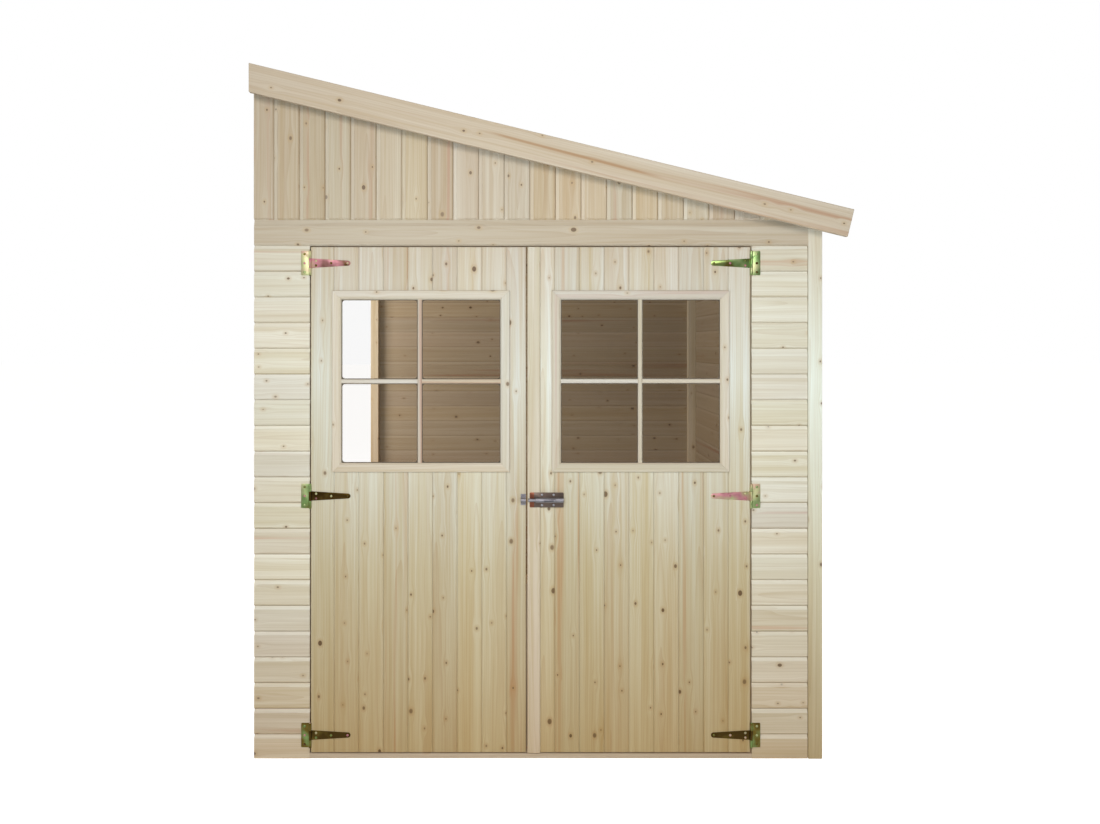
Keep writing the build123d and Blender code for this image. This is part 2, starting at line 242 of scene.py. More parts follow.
def growth_rings(tree, place, board, wander):
    """How strong the dark line that ends each ring is at a place."""
    heart = add_node(
        tree, "VectorMath", board, HEART_SPREAD, HEART_NEAREST, operation="MULTIPLY_ADD",
    )
    from_heart = add_node(tree, "VectorMath", place, heart, operation="SUBTRACT")
    flattened = add_node(tree, "VectorMath", from_heart, RING_STRETCH, operation="MULTIPLY")
    reach = add_node(tree, "VectorMath", flattened, operation="LENGTH")
    wandering = add_node(tree, "Math", wander, RING_WANDER, reach, operation="MULTIPLY_ADD")
    count = add_node(tree, "Math", wandering, RING_SPACING, operation="DIVIDE")
    in_ring = add_node(tree, "Math", count, operation="FRACT")
    return add_node(tree, "Math", in_ring, LINE_SHARPNESS, operation="POWER")


def drawn_out(tree, place, stretch, detail, roughness=0.5, offset=(0, 0, 0)):
    """Noise with a fineness of its own along, across and through the board."""
    stretched = add_node(tree, "VectorMath", place, stretch, offset, operation="MULTIPLY_ADD")
    return add_node(
        tree, "TexNoise", Vector=stretched, Scale=1, Detail=detail, Roughness=roughness,
    )


# %% [markdown]
# The fascia has a broken brown streak of resin. It is a line with a start and an end on the
# board, wavy with the rings, faded at both ends and interrupted where the wood's streaks are.

# %% Resin streak
RESIN_WAVE = 12 * MM
RESIN_EDGE = (6 * MM, 1.5 * MM)


def resin_streak(tree, along, across, wander, streaks, start, end, start_level, end_level):
    """How much of the streak shows at a place. It runs from start to end along the board."""
    level = add_node(tree, "MapRange", along, start, end, start_level, end_level)
    wavy_level = add_node(tree, "Math", wander, RESIN_WAVE, level, operation="MULTIPLY_ADD")
    off_level = add_node(tree, "Math", across, wavy_level, operation="SUBTRACT")
    off_line = add_node(tree, "Math", off_level, operation="ABSOLUTE")
    line = add_node(tree, "MapRange", off_line, *RESIN_EDGE, 0, 0.75)
    middle, half = (start + end) / 2, (end - start) / 2
    off_middle = add_node(tree, "Math", along, middle, operation="SUBTRACT")
    lengthwise = add_node(tree, "Math", off_middle, operation="ABSOLUTE")
    faded = add_node(tree, "MapRange", lengthwise, half, half * 0.7)
    broken = add_node(tree, "MapRange", streaks, 0.42, 0.52, 0.25, 1)
    faded_line = add_node(tree, "Math", line, faded, operation="MULTIPLY")
    return add_node(tree, "Math", faded_line, broken, operation="MULTIPLY")


# %% [markdown]
# A board changes from edge to edge and with its height on the wall, and all of that is painted
# light and shade. The wood is painted palest at window height and darker and more golden
# towards the ground, as painted shade. A lapped board's lip is painted darker in its lowest
# millimetres, as painted shade under the lap, and its slope is painted paler, as a painted
# highlight where it faces the light. The inside face of a wall board is painted darker, as
# painted shade inside the shed.

# %% Painted light and shade on a board: by height, at the laps and on its inside
LAPPED_WIDTH = 88 * MM
LIP_EDGE, SLOPE_EDGE = -LAPPED_WIDTH / 2, LAPPED_WIDTH / 2
WINDOW_HEIGHT = 1.3
UNDER_WINDOW = 0.65
DOOR_TOP = 1.75
TOP_HEIGHT = 2.4
INSIDE_FACE_DEPTH = -13.5 * MM
# Painted light by height: palest at window height, painted shade making the wood darker and more
# golden towards the ground.
PAINTED_HEIGHT_LIGHT = ((0, "#F8E7D5"), (WINDOW_HEIGHT, "#FFFFFF"))


def painted_light_layers(tree, across, depth, tones, inside_painted_shade, painted_slope_highlight_share):
    """Layers of painted light and shade for a board's surface: shares, colours, and how each is laid
    over the wood.
    """
    place = add_node(tree, "TexCoord").outputs["Object"]
    height = add_node(tree, "SeparateXYZ", place).outputs["Z"]
    up_share = add_node(tree, "Math", height, TOP_HEIGHT, operation="DIVIDE")
    # Painted light: a ramp by height over the wood, palest at window height and painted darker towards
    # the ground; tones gives its stops.
    stops = [(metres / TOP_HEIGHT, hex_value) for metres, hex_value in tones]
    layers = [(1.0, add_node(tree, "ValToRGB", up_share, stops=stops), "MULTIPLY")]
    # Painted shade under each lap, darker in the lip's lowest millimetres, and a painted highlight on
    # the slope, where it faces the light.
    if painted_slope_highlight_share:
        painted_lip_shade = add_node(tree, "MapRange", across, LIP_EDGE + 7 * MM, LIP_EDGE + 1 * MM, 0, 0.35)
        on_slope = add_node(tree, "MapRange", across, SLOPE_EDGE - 13 * MM, SLOPE_EDGE - 11 * MM)
        painted_slope_highlight = add_node(tree, "Math", on_slope, painted_slope_highlight_share, operation="MULTIPLY")
        layers += [(painted_lip_shade, colour("#B39B78"), "MULTIPLY"), (painted_slope_highlight, colour("#FAF5EA"), "MIX")]
    # Painted shade: the inside face of a wall board is painted darker, as the shade inside the shed.
    behind = add_node(tree, "Math", depth, INSIDE_FACE_DEPTH, operation="LESS_THAN")
    return [*layers, (behind, colour(inside_painted_shade), "MULTIPLY")]


# %% [markdown]
# The wood's colour is built up in layers, from the palest wood to the knots, and a board's random
# numbers then shift its hue, strength and paleness. Some boards come from nearer the log's heart
# and have a reddish streak. Growth lines and knots are harder than the rest, so they stand up
# a little and shine a little more.

# %% Planed spruce
FIBRE_WIDTH = 2.2 * MM  # drawn coarser than real fibres
STREAK_WIDTH = 20 * MM
WANDER_FINENESS = (1.1, 9, 9)  # waves per metre along, across and through
HEARTWOOD_FINENESS, HEARTWOOD_PLACE = (0.55, 34, 34), (7, 3, 0)
BOARD_HUES, BOARD_STRENGTHS, BOARD_VALUES = (0.493, 0.506), (0.86, 1.16), (0.93, 1.04)
BOARDS_APART = (37, 11, 5)  # metres between the places in the pattern that boards are cut from


def planed_spruce(
    name, early, streak, late, heart, knot_share, tones=PAINTED_HEIGHT_LIGHT, heart_share=0.3,
    inside_painted_shade="#FFFFFF", painted_slope_highlight_share=None, resin=None,
):
    """Spruce straight from the planer: matt, with a slight sheen on the harder growth lines."""
    material, tree, shader = new_material(name)
    grain = add_node(tree, "Attribute", attribute_name="grain").outputs["Vector"]
    board = add_node(tree, "Attribute", attribute_name="board").outputs["Vector"]
    along, across, depth = add_node(tree, "SeparateXYZ", grain).outputs
    strength_luck, hue_luck, value_luck = add_node(tree, "SeparateXYZ", board).outputs
    shift = add_node(tree, "VectorMath", board, BOARDS_APART, operation="MULTIPLY")
    apart = add_node(tree, "VectorMath", grain, shift, operation="ADD")
    knot, push, knot_layers = knots(tree, apart, knot_share)
    flowing = add_node(tree, "VectorMath", apart, push, operation="ADD")
    flowing_here = add_node(tree, "VectorMath", grain, push, operation="ADD")

    wander = drawn_out(tree, flowing, WANDER_FINENESS, 2)
    late_line = growth_rings(tree, flowing_here, board, wander)
    fibre = drawn_out(tree, flowing, (5, 1 / FIBRE_WIDTH, 1 / FIBRE_WIDTH), 3)
    streaks = drawn_out(tree, flowing, (0.9, 1 / STREAK_WIDTH, 1 / STREAK_WIDTH), 4, 0.6)
    heartwood = drawn_out(tree, flowing, HEARTWOOD_FINENESS, 3, offset=HEARTWOOD_PLACE)
    heart_streak = add_node(
        tree, "MapRange", heartwood, 0.55, 0.72, 0, 0.75, interpolation_type="SMOOTHSTEP",
    )
    heart_board = add_node(tree, "Math", value_luck, heart_share, operation="LESS_THAN")

    layers = [
        (add_node(tree, "MapRange", streaks, 0.34, 0.68), streak),
        (add_node(tree, "Math", late_line, 0.3, operation="MULTIPLY"), late),
        (add_node(tree, "MapRange", fibre, 0.35, 0.75, 0, 0.17), late),
        (add_node(tree, "Math", heart_streak, heart_board, operation="MULTIPLY"), heart),
    ]
    if resin:
        layers.append((resin_streak(tree, along, across, wander, streaks, *resin), "#A87A4E"))
    wood = colour(early)
    for share, hex_value in layers:
        wood = add_node(tree, "Mix", share, wood, colour(hex_value), data_type="RGBA")
    wood = add_node(
        tree, "HueSaturation", Color=wood,
        Hue=add_node(tree, "MapRange", hue_luck, 0, 1, *BOARD_HUES),
        Saturation=add_node(tree, "MapRange", strength_luck, 0, 1, *BOARD_STRENGTHS),
        Value=add_node(tree, "MapRange", value_luck, 0, 1, *BOARD_VALUES),
    )
    surface = [(share, colour(hex_value), "MIX") for share, hex_value in knot_layers]
    surface += painted_light_layers(tree, across, depth, tones, inside_painted_shade, painted_slope_highlight_share)
    for share, tint, blend in surface:
        wood = add_node(tree, "Mix", share, wood, tint, data_type="RGBA", blend_type=blend)

    lines = add_node(tree, "Math", late_line, 0.5, fibre, operation="MULTIPLY_ADD")
    relief = add_node(tree, "Math", knot, 0.8, lines, operation="MULTIPLY_ADD")
    feed(tree, shader, {
        "Base Color": wood,
        "Normal": add_node(tree, "Bump", Height=relief, Strength=0.35, Distance=0.25 * MM),
        "Roughness": add_node(tree, "MapRange", relief, 0.3, 1.6, 0.62, 0.42),
        "IOR": 1.5,
        "Specular IOR Level": 0.35,
    })
    return material


# %% [markdown]
# Each kind of piece was planed from other wood, so each has a material of its own: the palest
# wood, its streaks, its growth lines and its heartwood, in that order, measured on the photograph
# and set until the render matched. The painted light by height is given in metres.

# %% Spruce for each kind of piece
# Painted shade for the inside face of the wall boards.
INSIDE_PAINTED_SHADE = "#C1B5A7"
GABLE_COLOURS = ("#CABCA6", "#BAA588", "#A88A6C", "#BB937C")
# Each tones= below is painted light by height: palest at window height, painted shade towards the
# ground and, on doors and corners, towards the door top.
cladding_spruce = planed_spruce(
    "planed_spruce_cladding", "#E2DBCB", "#D2C6AE", "#BBA485", "#C79C82", knot_share=0.4,
    tones=((0, "#EEDECC"), (UNDER_WINDOW, "#FCF9F7"), (WINDOW_HEIGHT, "#FFFFFF")),
    inside_painted_shade=INSIDE_PAINTED_SHADE, painted_slope_highlight_share=0.24,
)
door_spruce = planed_spruce(
    "planed_spruce_door_boards", "#DCDCD5", "#CCC2AC", "#B89C7C", "#C5A284", knot_share=0.5,
    tones=(
        (0, "#DDC297"), (UNDER_WINDOW, "#E7D9C0"), (WINDOW_HEIGHT, "#FFFFFF"),
        (DOOR_TOP, "#F0E5DC"),
    ),
    heart_share=0.35,
)
gable_spruce = planed_spruce(
    "planed_spruce_gable_boards", *GABLE_COLOURS, knot_share=0.5, heart_share=0.4,
    inside_painted_shade=INSIDE_PAINTED_SHADE, painted_slope_highlight_share=0.16,
)
header_spruce = planed_spruce("planed_spruce_header", *GABLE_COLOURS, knot_share=0.5)
fascia_spruce = planed_spruce(
    "planed_spruce_fascia", "#D4C3AF", "#C4AC90", "#AF8F70", "#B07C5C", knot_share=0.4,
    heart_share=1.0, resin=(-0.26, 0.4, -17 * MM, -6 * MM),
)
corner_spruce = planed_spruce(
    "planed_spruce_corner_trim", "#EEF2E9", "#DEDCC8", "#C8B695", "#CFAA95", knot_share=0.35,
    tones=(
        (0, "#CAAF8C"), (UNDER_WINDOW, "#E2D4C0"), (WINDOW_HEIGHT, "#FFFFFF"),
        (DOOR_TOP, "#EFE4DD"),
    ),
)
trim_spruce = planed_spruce(
    "planed_spruce_trim", "#D5CCBF", "#C6BAA3", "#B2997A", "#BB907A", knot_share=0.35,
)
timber_spruce = planed_spruce(
    "planed_spruce_timber", "#D8CDB9", "#C7B799", "#B29774", "#BE9678", knot_share=0.6,
)
roof_spruce = planed_spruce(
    "planed_spruce_roof_boards", "#E6D9BC", "#D2BC92", "#BF9B68", "#C99A74", knot_share=0.75,
)
print("spruce materials made:", len([m for m in bpy.data.materials if "spruce" in m.name]))

# %% [markdown]
# A board is a section carried along a line, so each kind of board is drawn once, as its section,
# and then sawn to length and to the roof's slope. Bevelling a box would give the edges, but not
# the tongue, the groove and the sloping lip that throw the shadow lines seen on the walls.

# %% Sawing boards
def skin(bm, loops):
    """Stretches faces from each loop of corners to the next."""
    for near, far in zip(loops, loops[1:]):
        for i in range(len(near)):
            j = (i + 1) % len(near)
            bm.faces.new((near[i], near[j], far[j], far[i]))


def prism(outline, start, along, across, out, length):
    """The outline, given as across and out, carried this length from start."""
    bm = bmesh.new()
    ends = [
        [bm.verts.new(corner + across * a + out * o) for a, o in outline]
        for corner in (start, start + along * length)
    ]
    skin(bm, ends)
    for end in ends:
        bm.faces.new(end)
    bmesh.ops.recalc_face_normals(bm, faces=bm.faces[:])
    return bm


def eased(outline, radius, steps=2):
    """The outline with its corners rounded, as a plane or a glass-paper block leaves them."""
    points = []
    for i, corner in enumerate(outline):
        corner = Vector(corner)
        back = Vector(outline[i - 1]) - corner
        ahead = Vector(outline[(i + 1) % len(outline)]) - corner
        cut = min(radius, back.length * 0.45, ahead.length * 0.45)
        start = corner + back.normalized() * cut
        end = corner + ahead.normalized() * cut
        for step in range(steps + 1):
            t = step / steps
            points.append(start * (1 - t) ** 2 + corner * 2 * t * (1 - t) + end * t * t)
    return [tuple(p) for p in points]


def ripped(outline, low=None, high=None):
    """The outline sawn lengthwise, keeping what lies between these two places across it."""
    for limit, side in ((low, 1), (high, -1)):
        if limit is None:
            continue
        kept = []
        for i, (a, o) in enumerate(outline):
            before_a, before_o = outline[i - 1]
            inside = (a - limit) * side >= 0
            before_inside = (before_a - limit) * side >= 0
            if inside != before_inside:
                share = (limit - before_a) / (a - before_a)
                kept.append((limit, before_o + (o - before_o) * share))
            if inside:
                kept.append((a, o))
        outline = kept
    return outline


def saw(bm, point, outward):
    """Saws off what lies beyond the plane, and closes the cut."""
    bmesh.ops.bisect_plane(
        bm, geom=bm.verts[:] + bm.edges[:] + bm.faces[:], plane_co=point, plane_no=outward,
        clear_outer=True, dist=1e-6,
    )
    open_edges = [e for e in bm.edges if e.is_boundary]
    bmesh.ops.holes_fill(bm, edges=open_edges, sides=0)
    bmesh.ops.recalc_face_normals(bm, faces=bm.faces[:])
    return bm


# %% [markdown]
# The finished parts of a piece are joined into one mesh. Each point carries its grain coordinates,
# measured from the board's own middle, and its board's random numbers. Those are drawn from
# the piece's name, so a board keeps its look when other pieces change.

# %% Joining parts into a piece
def make_piece(name, mesh_parts, material, body, slot_name, *nodes, smooth=False):
    """Joins parts, each a bmesh with the start and directions of its grain, into one piece.

    A part may also bring the three random numbers that set its tone."""
    luck = random.Random(name)
    points, faces, grain, board = [], [], [], []
    for bm, start, along, across, out, *own_tones in mesh_parts:
        first = len(points)
        bm.verts.index_update()
        tones = own_tones[0] if own_tones else (luck.random(), luck.random(), luck.random())
        for vert in bm.verts:
            away = vert.co - start
            points.append(tuple(vert.co))
            grain.append((away.dot(along), away.dot(across), away.dot(out)))
            board.append(tones)
        faces.extend([first + v.index for v in face.verts] for face in bm.faces)
        bm.free()
    mesh = bpy.data.meshes.new(name)
    mesh.from_pydata(points, [], faces)
    for attribute_name, values in (("grain", grain), ("board", board)):
        attribute = mesh.attributes.new(attribute_name, "FLOAT_VECTOR", "POINT")
        attribute.data.foreach_set("vector", np.array(values, np.float32).ravel())
    if smooth:
        mesh.shade_smooth()
        mesh.set_sharp_from_angle(angle=math.radians(40))
    mesh.materials.append(material)
    piece = bpy.data.objects.new(name, mesh)
    bpy.context.scene.collection.objects.link(piece)
    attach(piece, body)
    if nodes:
        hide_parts(*nodes)
    print(name, len(mesh_parts), "parts,", len(mesh.polygons), "faces")
    return piece


# %% [markdown]
# The wall boards are planed with a tongue and a groove, and the upper edge slopes back under the
# bevelled lip of the next board. The lip turns away from the light and the slope towards it,
# which gives the soft dark line and the pale strip at each joint.
# The joints' heights come from the photograph: the first one above the base, and the last one,
# which is level with the top of the doorway.

# %% The walls' boards
joint_gap = 0.5 * MM
tongue_front, tongue_back = -8.5 * MM, -12.5 * MM
tongue_length = 6.5 * MM
groove_fit = 0.4 * MM
groove_depth = 7 * MM
groove_low, groove_high = tongue_back - groove_fit, tongue_front + groove_fit
groove = [(0, groove_low), (groove_depth, groove_low), (groove_depth, groove_high), (0, groove_high)]
lip_strip = 12 * MM
lip_depth = 6 * MM
lip_step = 0.8 * MM

first_joint_px = 735
low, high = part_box("front_header")
opening_top = low.z
cladding_thickness = high.y - low.y
first_joint = photo_z(first_joint_px)
joints_below_header = 19
board_pitch = (opening_top - first_joint) / joints_below_header
roof_pitch = math.radians(13.6)
roof_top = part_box("roof_deck")[1].z
deck_thickness = 16 * MM
roof_normal = Vector((math.sin(roof_pitch), 0, math.cos(roof_pitch)))
down_slope = Vector((math.cos(roof_pitch), 0, -math.sin(roof_pitch)))
under_deck = Vector((house_x, 0, roof_top - deck_thickness / math.cos(roof_pitch)))
print("boards repeat every", round(board_pitch / MM, 2), "mm")


def tongue_from(shoulder):
    """The tongue that stands out from a board's upper shoulder."""
    tip = shoulder + tongue_length
    return [(shoulder, tongue_front), (tip, tongue_front), (tip, tongue_back), (shoulder, tongue_back)]


def eased_lip(size):
    """The lower edge of a wall board, from its underside to its face: a bevel with eased ends."""
    return [(0, -size), (0.4 * MM, -size * 0.85), (size * 0.8, -0.5 * MM), (size, 0)]


def lipped_section(pitch, thickness, lip=lip_depth):
    """A wall board's section: lower edge at 0, face at out 0, sloping strip at its upper edge."""
    shoulder = pitch - joint_gap
    return [
        *eased_lip(lip),
        (pitch - lip_strip - lip_step, 0),
        (pitch - lip_strip, -lip_step),
        (shoulder, -lip),
        *tongue_from(shoulder),
        (shoulder, -thickness),
        (0, -thickness),
        *groove,
    ]


def level_boards(start_point, along, out, length, top, roof_cut=False):
    """Level boards from the ground to the top, which may be cut to the roof's slope."""
    parts = []
    low = first_joint - board_pitch
    while low < top - joint_gap:
        outline = lipped_section(board_pitch, cladding_thickness)
        foot = -low if low < 0 else None
        head = top - low if top - low < board_pitch + tongue_length else None
        outline = ripped(outline, foot, head)
        start = start_point + UP * low
        bm = prism(outline, start, along, UP, out, length)
        if roof_cut:
            saw(bm, under_deck, roof_normal)
        if bm.faces:
            parts.append((bm, start + UP * board_pitch / 2, along, UP, out))
        low += board_pitch
    return parts


# %% [markdown]
# The panels beside the doors are such boards from the ground to the header. The header is one
# wider board with the same lip and a broader slope, and the gable stands on it.

# %% Front panels and header
end_gap = 1.6 * MM
for side in ("left", "right"):
    node = f"front_{side}_panel"
    low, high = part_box(node)
    length = high.x - low.x - (end_gap if side == "right" else 0)
    boards = level_boards(Vector((low.x, low.y, 0)), RIGHT, FRONT, length, high.z)
    make_piece(f"front_{side}_boards", boards, cladding_spruce, "shed", "cladding", node)

low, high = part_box("front_header")
header_height = high.z - low.z
header_strip = 19 * MM
header_tones = (0.1, 0.5, 0.4)  # weak in colour, even in hue, and a little dark
header_section = [
    *eased_lip(lip_depth),
    (header_height - header_strip - lip_step, 0),
    (header_height - header_strip, -lip_step),
    (header_height, -lip_depth),
    (header_height, -cladding_thickness),
    (0, -cladding_thickness),
]
header = prism(header_section, low, RIGHT, UP, FRONT, high.x - low.x)
header_middle = low + UP * header_height / 2
make_piece(
    "front_header_board", [(header, header_middle, RIGHT, UP, FRONT, header_tones)],
    header_spruce, "shed", "cladding", "front_header",
)

# %% [markdown]
# The gable's boards stand upright, with the sloping strip on their left, and are sawn to the
# roof's slope. They stand on the header and hang two millimetres over it, and their lower ends
# are bevelled, so the row of them ends in a soft line.

# %% The gable's boards
first_gable_joint_px, last_gable_joint_px = 274, 735
gable_joints = 18
low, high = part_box("front_gable")
gable_pitch = (last_gable_joint_px - first_gable_joint_px) / gable_joints * metres_per_pixel
gable_thickness = high.y - low.y
gable_lip = 4 * MM
end_bevel = 6 * MM
gable_boards = []
left = photo_x(first_gable_joint_px) - gable_pitch
while left < high.x - joint_gap:
    right = left + gable_pitch
    section = lipped_section(gable_pitch, gable_thickness, lip=gable_lip)
    lost_right = right - high.x if right > high.x else None
    lost_left = right - low.x if left < low.x else None
    section = ripped(section, lost_right, lost_left)
    start = Vector((right, low.y, low.z))
    bm = prism(section, start, UP, -RIGHT, FRONT, high.z - low.z)
    saw(bm, under_deck, roof_normal)
    saw(bm, Vector((0, low.y, low.z + end_bevel)), (FRONT - UP).normalized())
    gable_boards.append((bm, start - RIGHT * gable_pitch / 2, UP, -RIGHT, FRONT))
    left = right
make_piece("front_gable_boards", gable_boards, gable_spruce, "shed", "cladding", "front_gable")

# %% [markdown]
# The side and back walls don't show in the photograph. They are clad like the front panels.

# %% Side and back boards
low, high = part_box("side_wall")
side_boards = level_boards(
    Vector((high.x, low.y, 0)), BACK, RIGHT, high.y - low.y, high.z + MM, roof_cut=True,
)
make_piece("side_wall_boards", side_boards, cladding_spruce, "shed", "cladding", "side_wall")

low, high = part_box("back_wall")
back_boards = level_boards(
    Vector((low.x, high.y, 0)), RIGHT, BACK, high.x - low.x, high.z + MM, roof_cut=True,
)
make_piece("back_wall_boards", back_boards, cladding_spruce, "shed", "cladding", "back_wall")

# %% [markdown]
# The door leaves are upright boards too, but with a plain V joint: both neighbours have a small
# bevel. The roof's boards are of the same kind.

# %% A board with V joints
bevel_width, bevel_depth = 3.2 * MM, 1.8 * MM
door_joint_gap = 0.5 * MM


def v_section(width, thickness, first=False, last=False):
    """A board's section with a bevel at each edge and a tongue into its neighbour.

    The first board of a row has no groove, and the last one has no tongue."""
    shoulder = width - door_joint_gap
    outline = [
        (bevel_width, 0),
        (shoulder - bevel_width, 0),
        (shoulder, -bevel_depth),
        *tongue_from(shoulder),
        (shoulder, bevel_depth / 2 - thickness),
        (shoulder - bevel_width / 2, -thickness),
        (bevel_width / 2, -thickness),
        (0, bevel_depth / 2 - thickness),
        *groove,
        (0, -bevel_depth),
    ]
    if first:
        outline = [(a if a > groove_depth else 0, o) for a, o in ripped(outline, groove_depth)]
    if last:
        outline = ripped(outline, None, width)
    return outline


# %% [markdown]
# The window hole is sawn through every board that it meets. A boolean does that well, because
# the hole may leave only a narrow strip of a board beside it.

# %% Sawing a hole
def cut_out(bm, low, high):
    """Saws a box-shaped hole through a part, with Blender's boolean."""
    block = bmesh.new()
    bmesh.ops.create_cube(block, size=1)
    for vert in block.verts:
        vert.co = Vector((l + (h - l) * (c + 0.5) for l, h, c in zip(low, high, vert.co)))
    solids = []
    for name, shape in (("part", bm), ("tool", block)):
        mesh = bpy.data.meshes.new(name)
        shape.to_mesh(mesh)
        shape.free()
        solid = bpy.data.objects.new(name, mesh)
        bpy.context.scene.collection.objects.link(solid)
        solids.append(solid)
    part, tool = solids
    modifier = part.modifiers.new("cut", "BOOLEAN")
    modifier.operation = "DIFFERENCE"
    modifier.solver = "EXACT"
    modifier.object = tool
    depsgraph = bpy.context.evaluated_depsgraph_get()
    result = bmesh.new()
    result.from_mesh(part.evaluated_get(depsgraph).to_mesh())
    for mesh in [solid.data for solid in solids]:
        bpy.data.meshes.remove(mesh)
    return result


# %% [markdown]
# The joints of each leaf are evenly spaced between the first and the last one in the photograph.
# The boards at the leaf's edges take up the rest.

# %% The door leaves' boards
door_joints_px = {"left": (334, 506.5), "right": (554.7, 728.6)}
door_joint_count = 8
hole_margin = 10 * MM
pane_play = 2 * MM
for side in ("left", "right"):
    low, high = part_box(f"{side}_door_boards")
    pane_low, pane_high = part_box(f"{side}_window_pane")
    hole_low = Vector((pane_low.x - pane_play, low.y - hole_margin, pane_low.z - pane_play))
    hole_high = Vector((pane_high.x + pane_play, high.y + hole_margin, pane_high.z + pane_play))
    first_px, last_px = door_joints_px[side]
    joint_pitch = (last_px - first_px) / (door_joint_count - 1)
    joints = [photo_x(first_px + i * joint_pitch) for i in range(door_joint_count)]
    edges = [low.x, *joints, high.x]
    boards = []
    for left, right in zip(edges, edges[1:]):
        section = v_section(right - left, high.y - low.y, left == low.x, right == high.x)
        start = Vector((left, low.y, low.z))
        bm = prism(section, start, UP, RIGHT, FRONT, high.z - low.z)
        if right > hole_low.x and left < hole_high.x:
            bm = cut_out(bm, hole_low, hole_high)
        middle = start + RIGHT * (right - left) / 2
        boards.append((bm, middle, UP, RIGHT, FRONT))
    make_piece(
        f"{side}_leaf_boards", boards, door_spruce, f"{side}_door", "door_boards",
        f"{side}_door_boards",
    )

# %% [markdown]
# Posts, rails, ledges, trims and fascias are plain planed timbers with slightly rounded edges.
# Their solids already have the right shape, so each is copied, its edges are eased, and it gets
# grain coordinates along its length.

# %% Planed timbers
timber_heart_depth = 10 * MM  # the grain is measured from this far in front of the middle


def loose_parts(node):
    """The separate solids of a CAD node, each as a bmesh with its flat faces whole."""
    whole = bmesh.new()
    whole.from_mesh(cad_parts[node].data)
    bmesh.ops.remove_doubles(whole, verts=whole.verts[:], dist=1e-5)
    bmesh.ops.dissolve_limit(
        whole, angle_limit=math.radians(1), verts=whole.verts[:], edges=whole.edges[:],
    )
    unseen = set(whole.faces)
    parts = []
    while unseen:
        heap = [min(unseen, key=lambda f: tuple(f.calc_center_median()))]
        island = set()
        while heap:
            face = heap.pop()
            if face in island:
                continue
            island.add(face)
            heap.extend(f for e in face.edges for f in e.link_faces if f not in island)
        unseen -= island
        part = bmesh.new()
        copies = {}
        for face in sorted(island, key=lambda f: f.index):
            for vert in face.verts:
                if vert.index not in copies:
                    copies[vert.index] = part.verts.new(vert.co)
            part.faces.new([copies[v.index] for v in face.verts])
        parts.append(part)
    whole.free()
    return parts


def timber(node, along, out, material, body, slot_name, ease=1.5 * MM):
    """A CAD node's timbers with eased edges, and the grain along them."""
    across = along.cross(out)
    parts = []
    for bm in loose_parts(node):
        bmesh.ops.bevel(
            bm, geom=bm.edges[:], offset=ease, segments=2, profile=0.5, affect="EDGES",
            clamp_overlap=True,
        )
        corners = [v.co for v in bm.verts]
        middle = sum(corners, Vector()) / len(corners)
        parts.append((bm, middle + out * timber_heart_depth, along, across, out))
    return make_piece(f"{node}_timber", parts, material, body, slot_name, node)


# %% [markdown]
# The timbers are listed by the way they run, because the grain follows their length. Those
# that show in the photograph take the colours measured there.

# %% The timbers, by direction
upright = [
    "front_left_post", "front_corner_post", "front_left_jamb", "front_right_jamb",
    "front_gable_stud", "side_stud", "back_left_post", "back_corner_post", "back_middle_stud",
]
across_front = ["front_head_rail", "back_bottom_rail"]
front_to_back = ["side_bottom_rail", "side_top_plate", "house_beam", "purlins"]
down_the_slope = ["front_top_rail", "back_top_rail"]
for names, along, out in (
    (upright, UP, FRONT),
    (across_front, RIGHT, FRONT),
    (front_to_back, BACK, RIGHT),
    (down_the_slope, down_slope, FRONT),
):
    for node in names:
        timber(node, along, out, timber_spruce, "shed", "frame_timber")
for side in ("left", "right"):
    timber(f"{side}_door_ledges", RIGHT, BACK, timber_spruce, f"{side}_door", "frame_timber")
timber("bolt_backing", UP, FRONT, trim_spruce, "right_door", "frame_timber", ease=1 * MM)
timber("cover_strip", UP, FRONT, trim_spruce, "right_door", "trim", ease=0.6 * MM)
timber("door_threshold", RIGHT, FRONT, trim_spruce, "shed", "trim")
for end in ("front", "back"):
    outward = FRONT if end == "front" else BACK
    timber(f"{end}_corner_trim", UP, outward, corner_spruce, "shed", "trim", ease=2 * MM)
    timber(f"{end}_fascia", down_slope, outward, fascia_spruce, "shed", "trim", ease=2 * MM)

# %% [markdown]
# The roof is a deck of the same kind of boards, running down the slope. Nothing lies on it in
# the photograph, so the boards are left bare.

# %% The roof's boards
low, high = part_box("roof_deck")
roof_board_count = 27
roof_board_width = (high.y - low.y) / roof_board_count
deck_length = (high.x - low.x) / math.cos(roof_pitch)
ridge = Vector((low.x, low.y, high.z))
lead = deck_thickness * math.tan(roof_pitch)
roof_parts = []
for i in range(roof_board_count):
    is_last = i == roof_board_count - 1
    section = v_section(roof_board_width, deck_thickness, i == 0, is_last)
    start = ridge + BACK * roof_board_width * i - down_slope * lead
    bm = prism(section, start, down_slope, BACK, roof_normal, deck_length + lead)
    saw(bm, ridge, -RIGHT)
    middle = start + BACK * roof_board_width / 2
    roof_parts.append((bm, middle, down_slope, BACK, roof_normal))
make_piece("roof_deck_boards", roof_parts, roof_spruce, "shed", "roof_boards", "roof_deck")

# %% [markdown]
# A cross of thin bars divides each window in four, and every light has a thin dark bead round
# its edge. The bead is square outside, where it meets the wood, and has rounded corners inside.

# %% Dark glazing beads
bead_width = 2.6 * MM
bead_thickness = 1.6 * MM
bead_corner = 9 * MM
bead_material, bead_tree, bead_shader = new_material("dark_glazing_bead")
bead_noise = add_node(bead_tree, "TexNoise", Scale=900, Detail=2)
bead_colour = add_node(
    bead_tree, "Mix", bead_noise, colour("#4A4036"), colour("#6B5E4E"), data_type="RGBA",
)
feed(bead_tree, bead_shader, {"Base Color": bead_colour, "Roughness": 0.6})


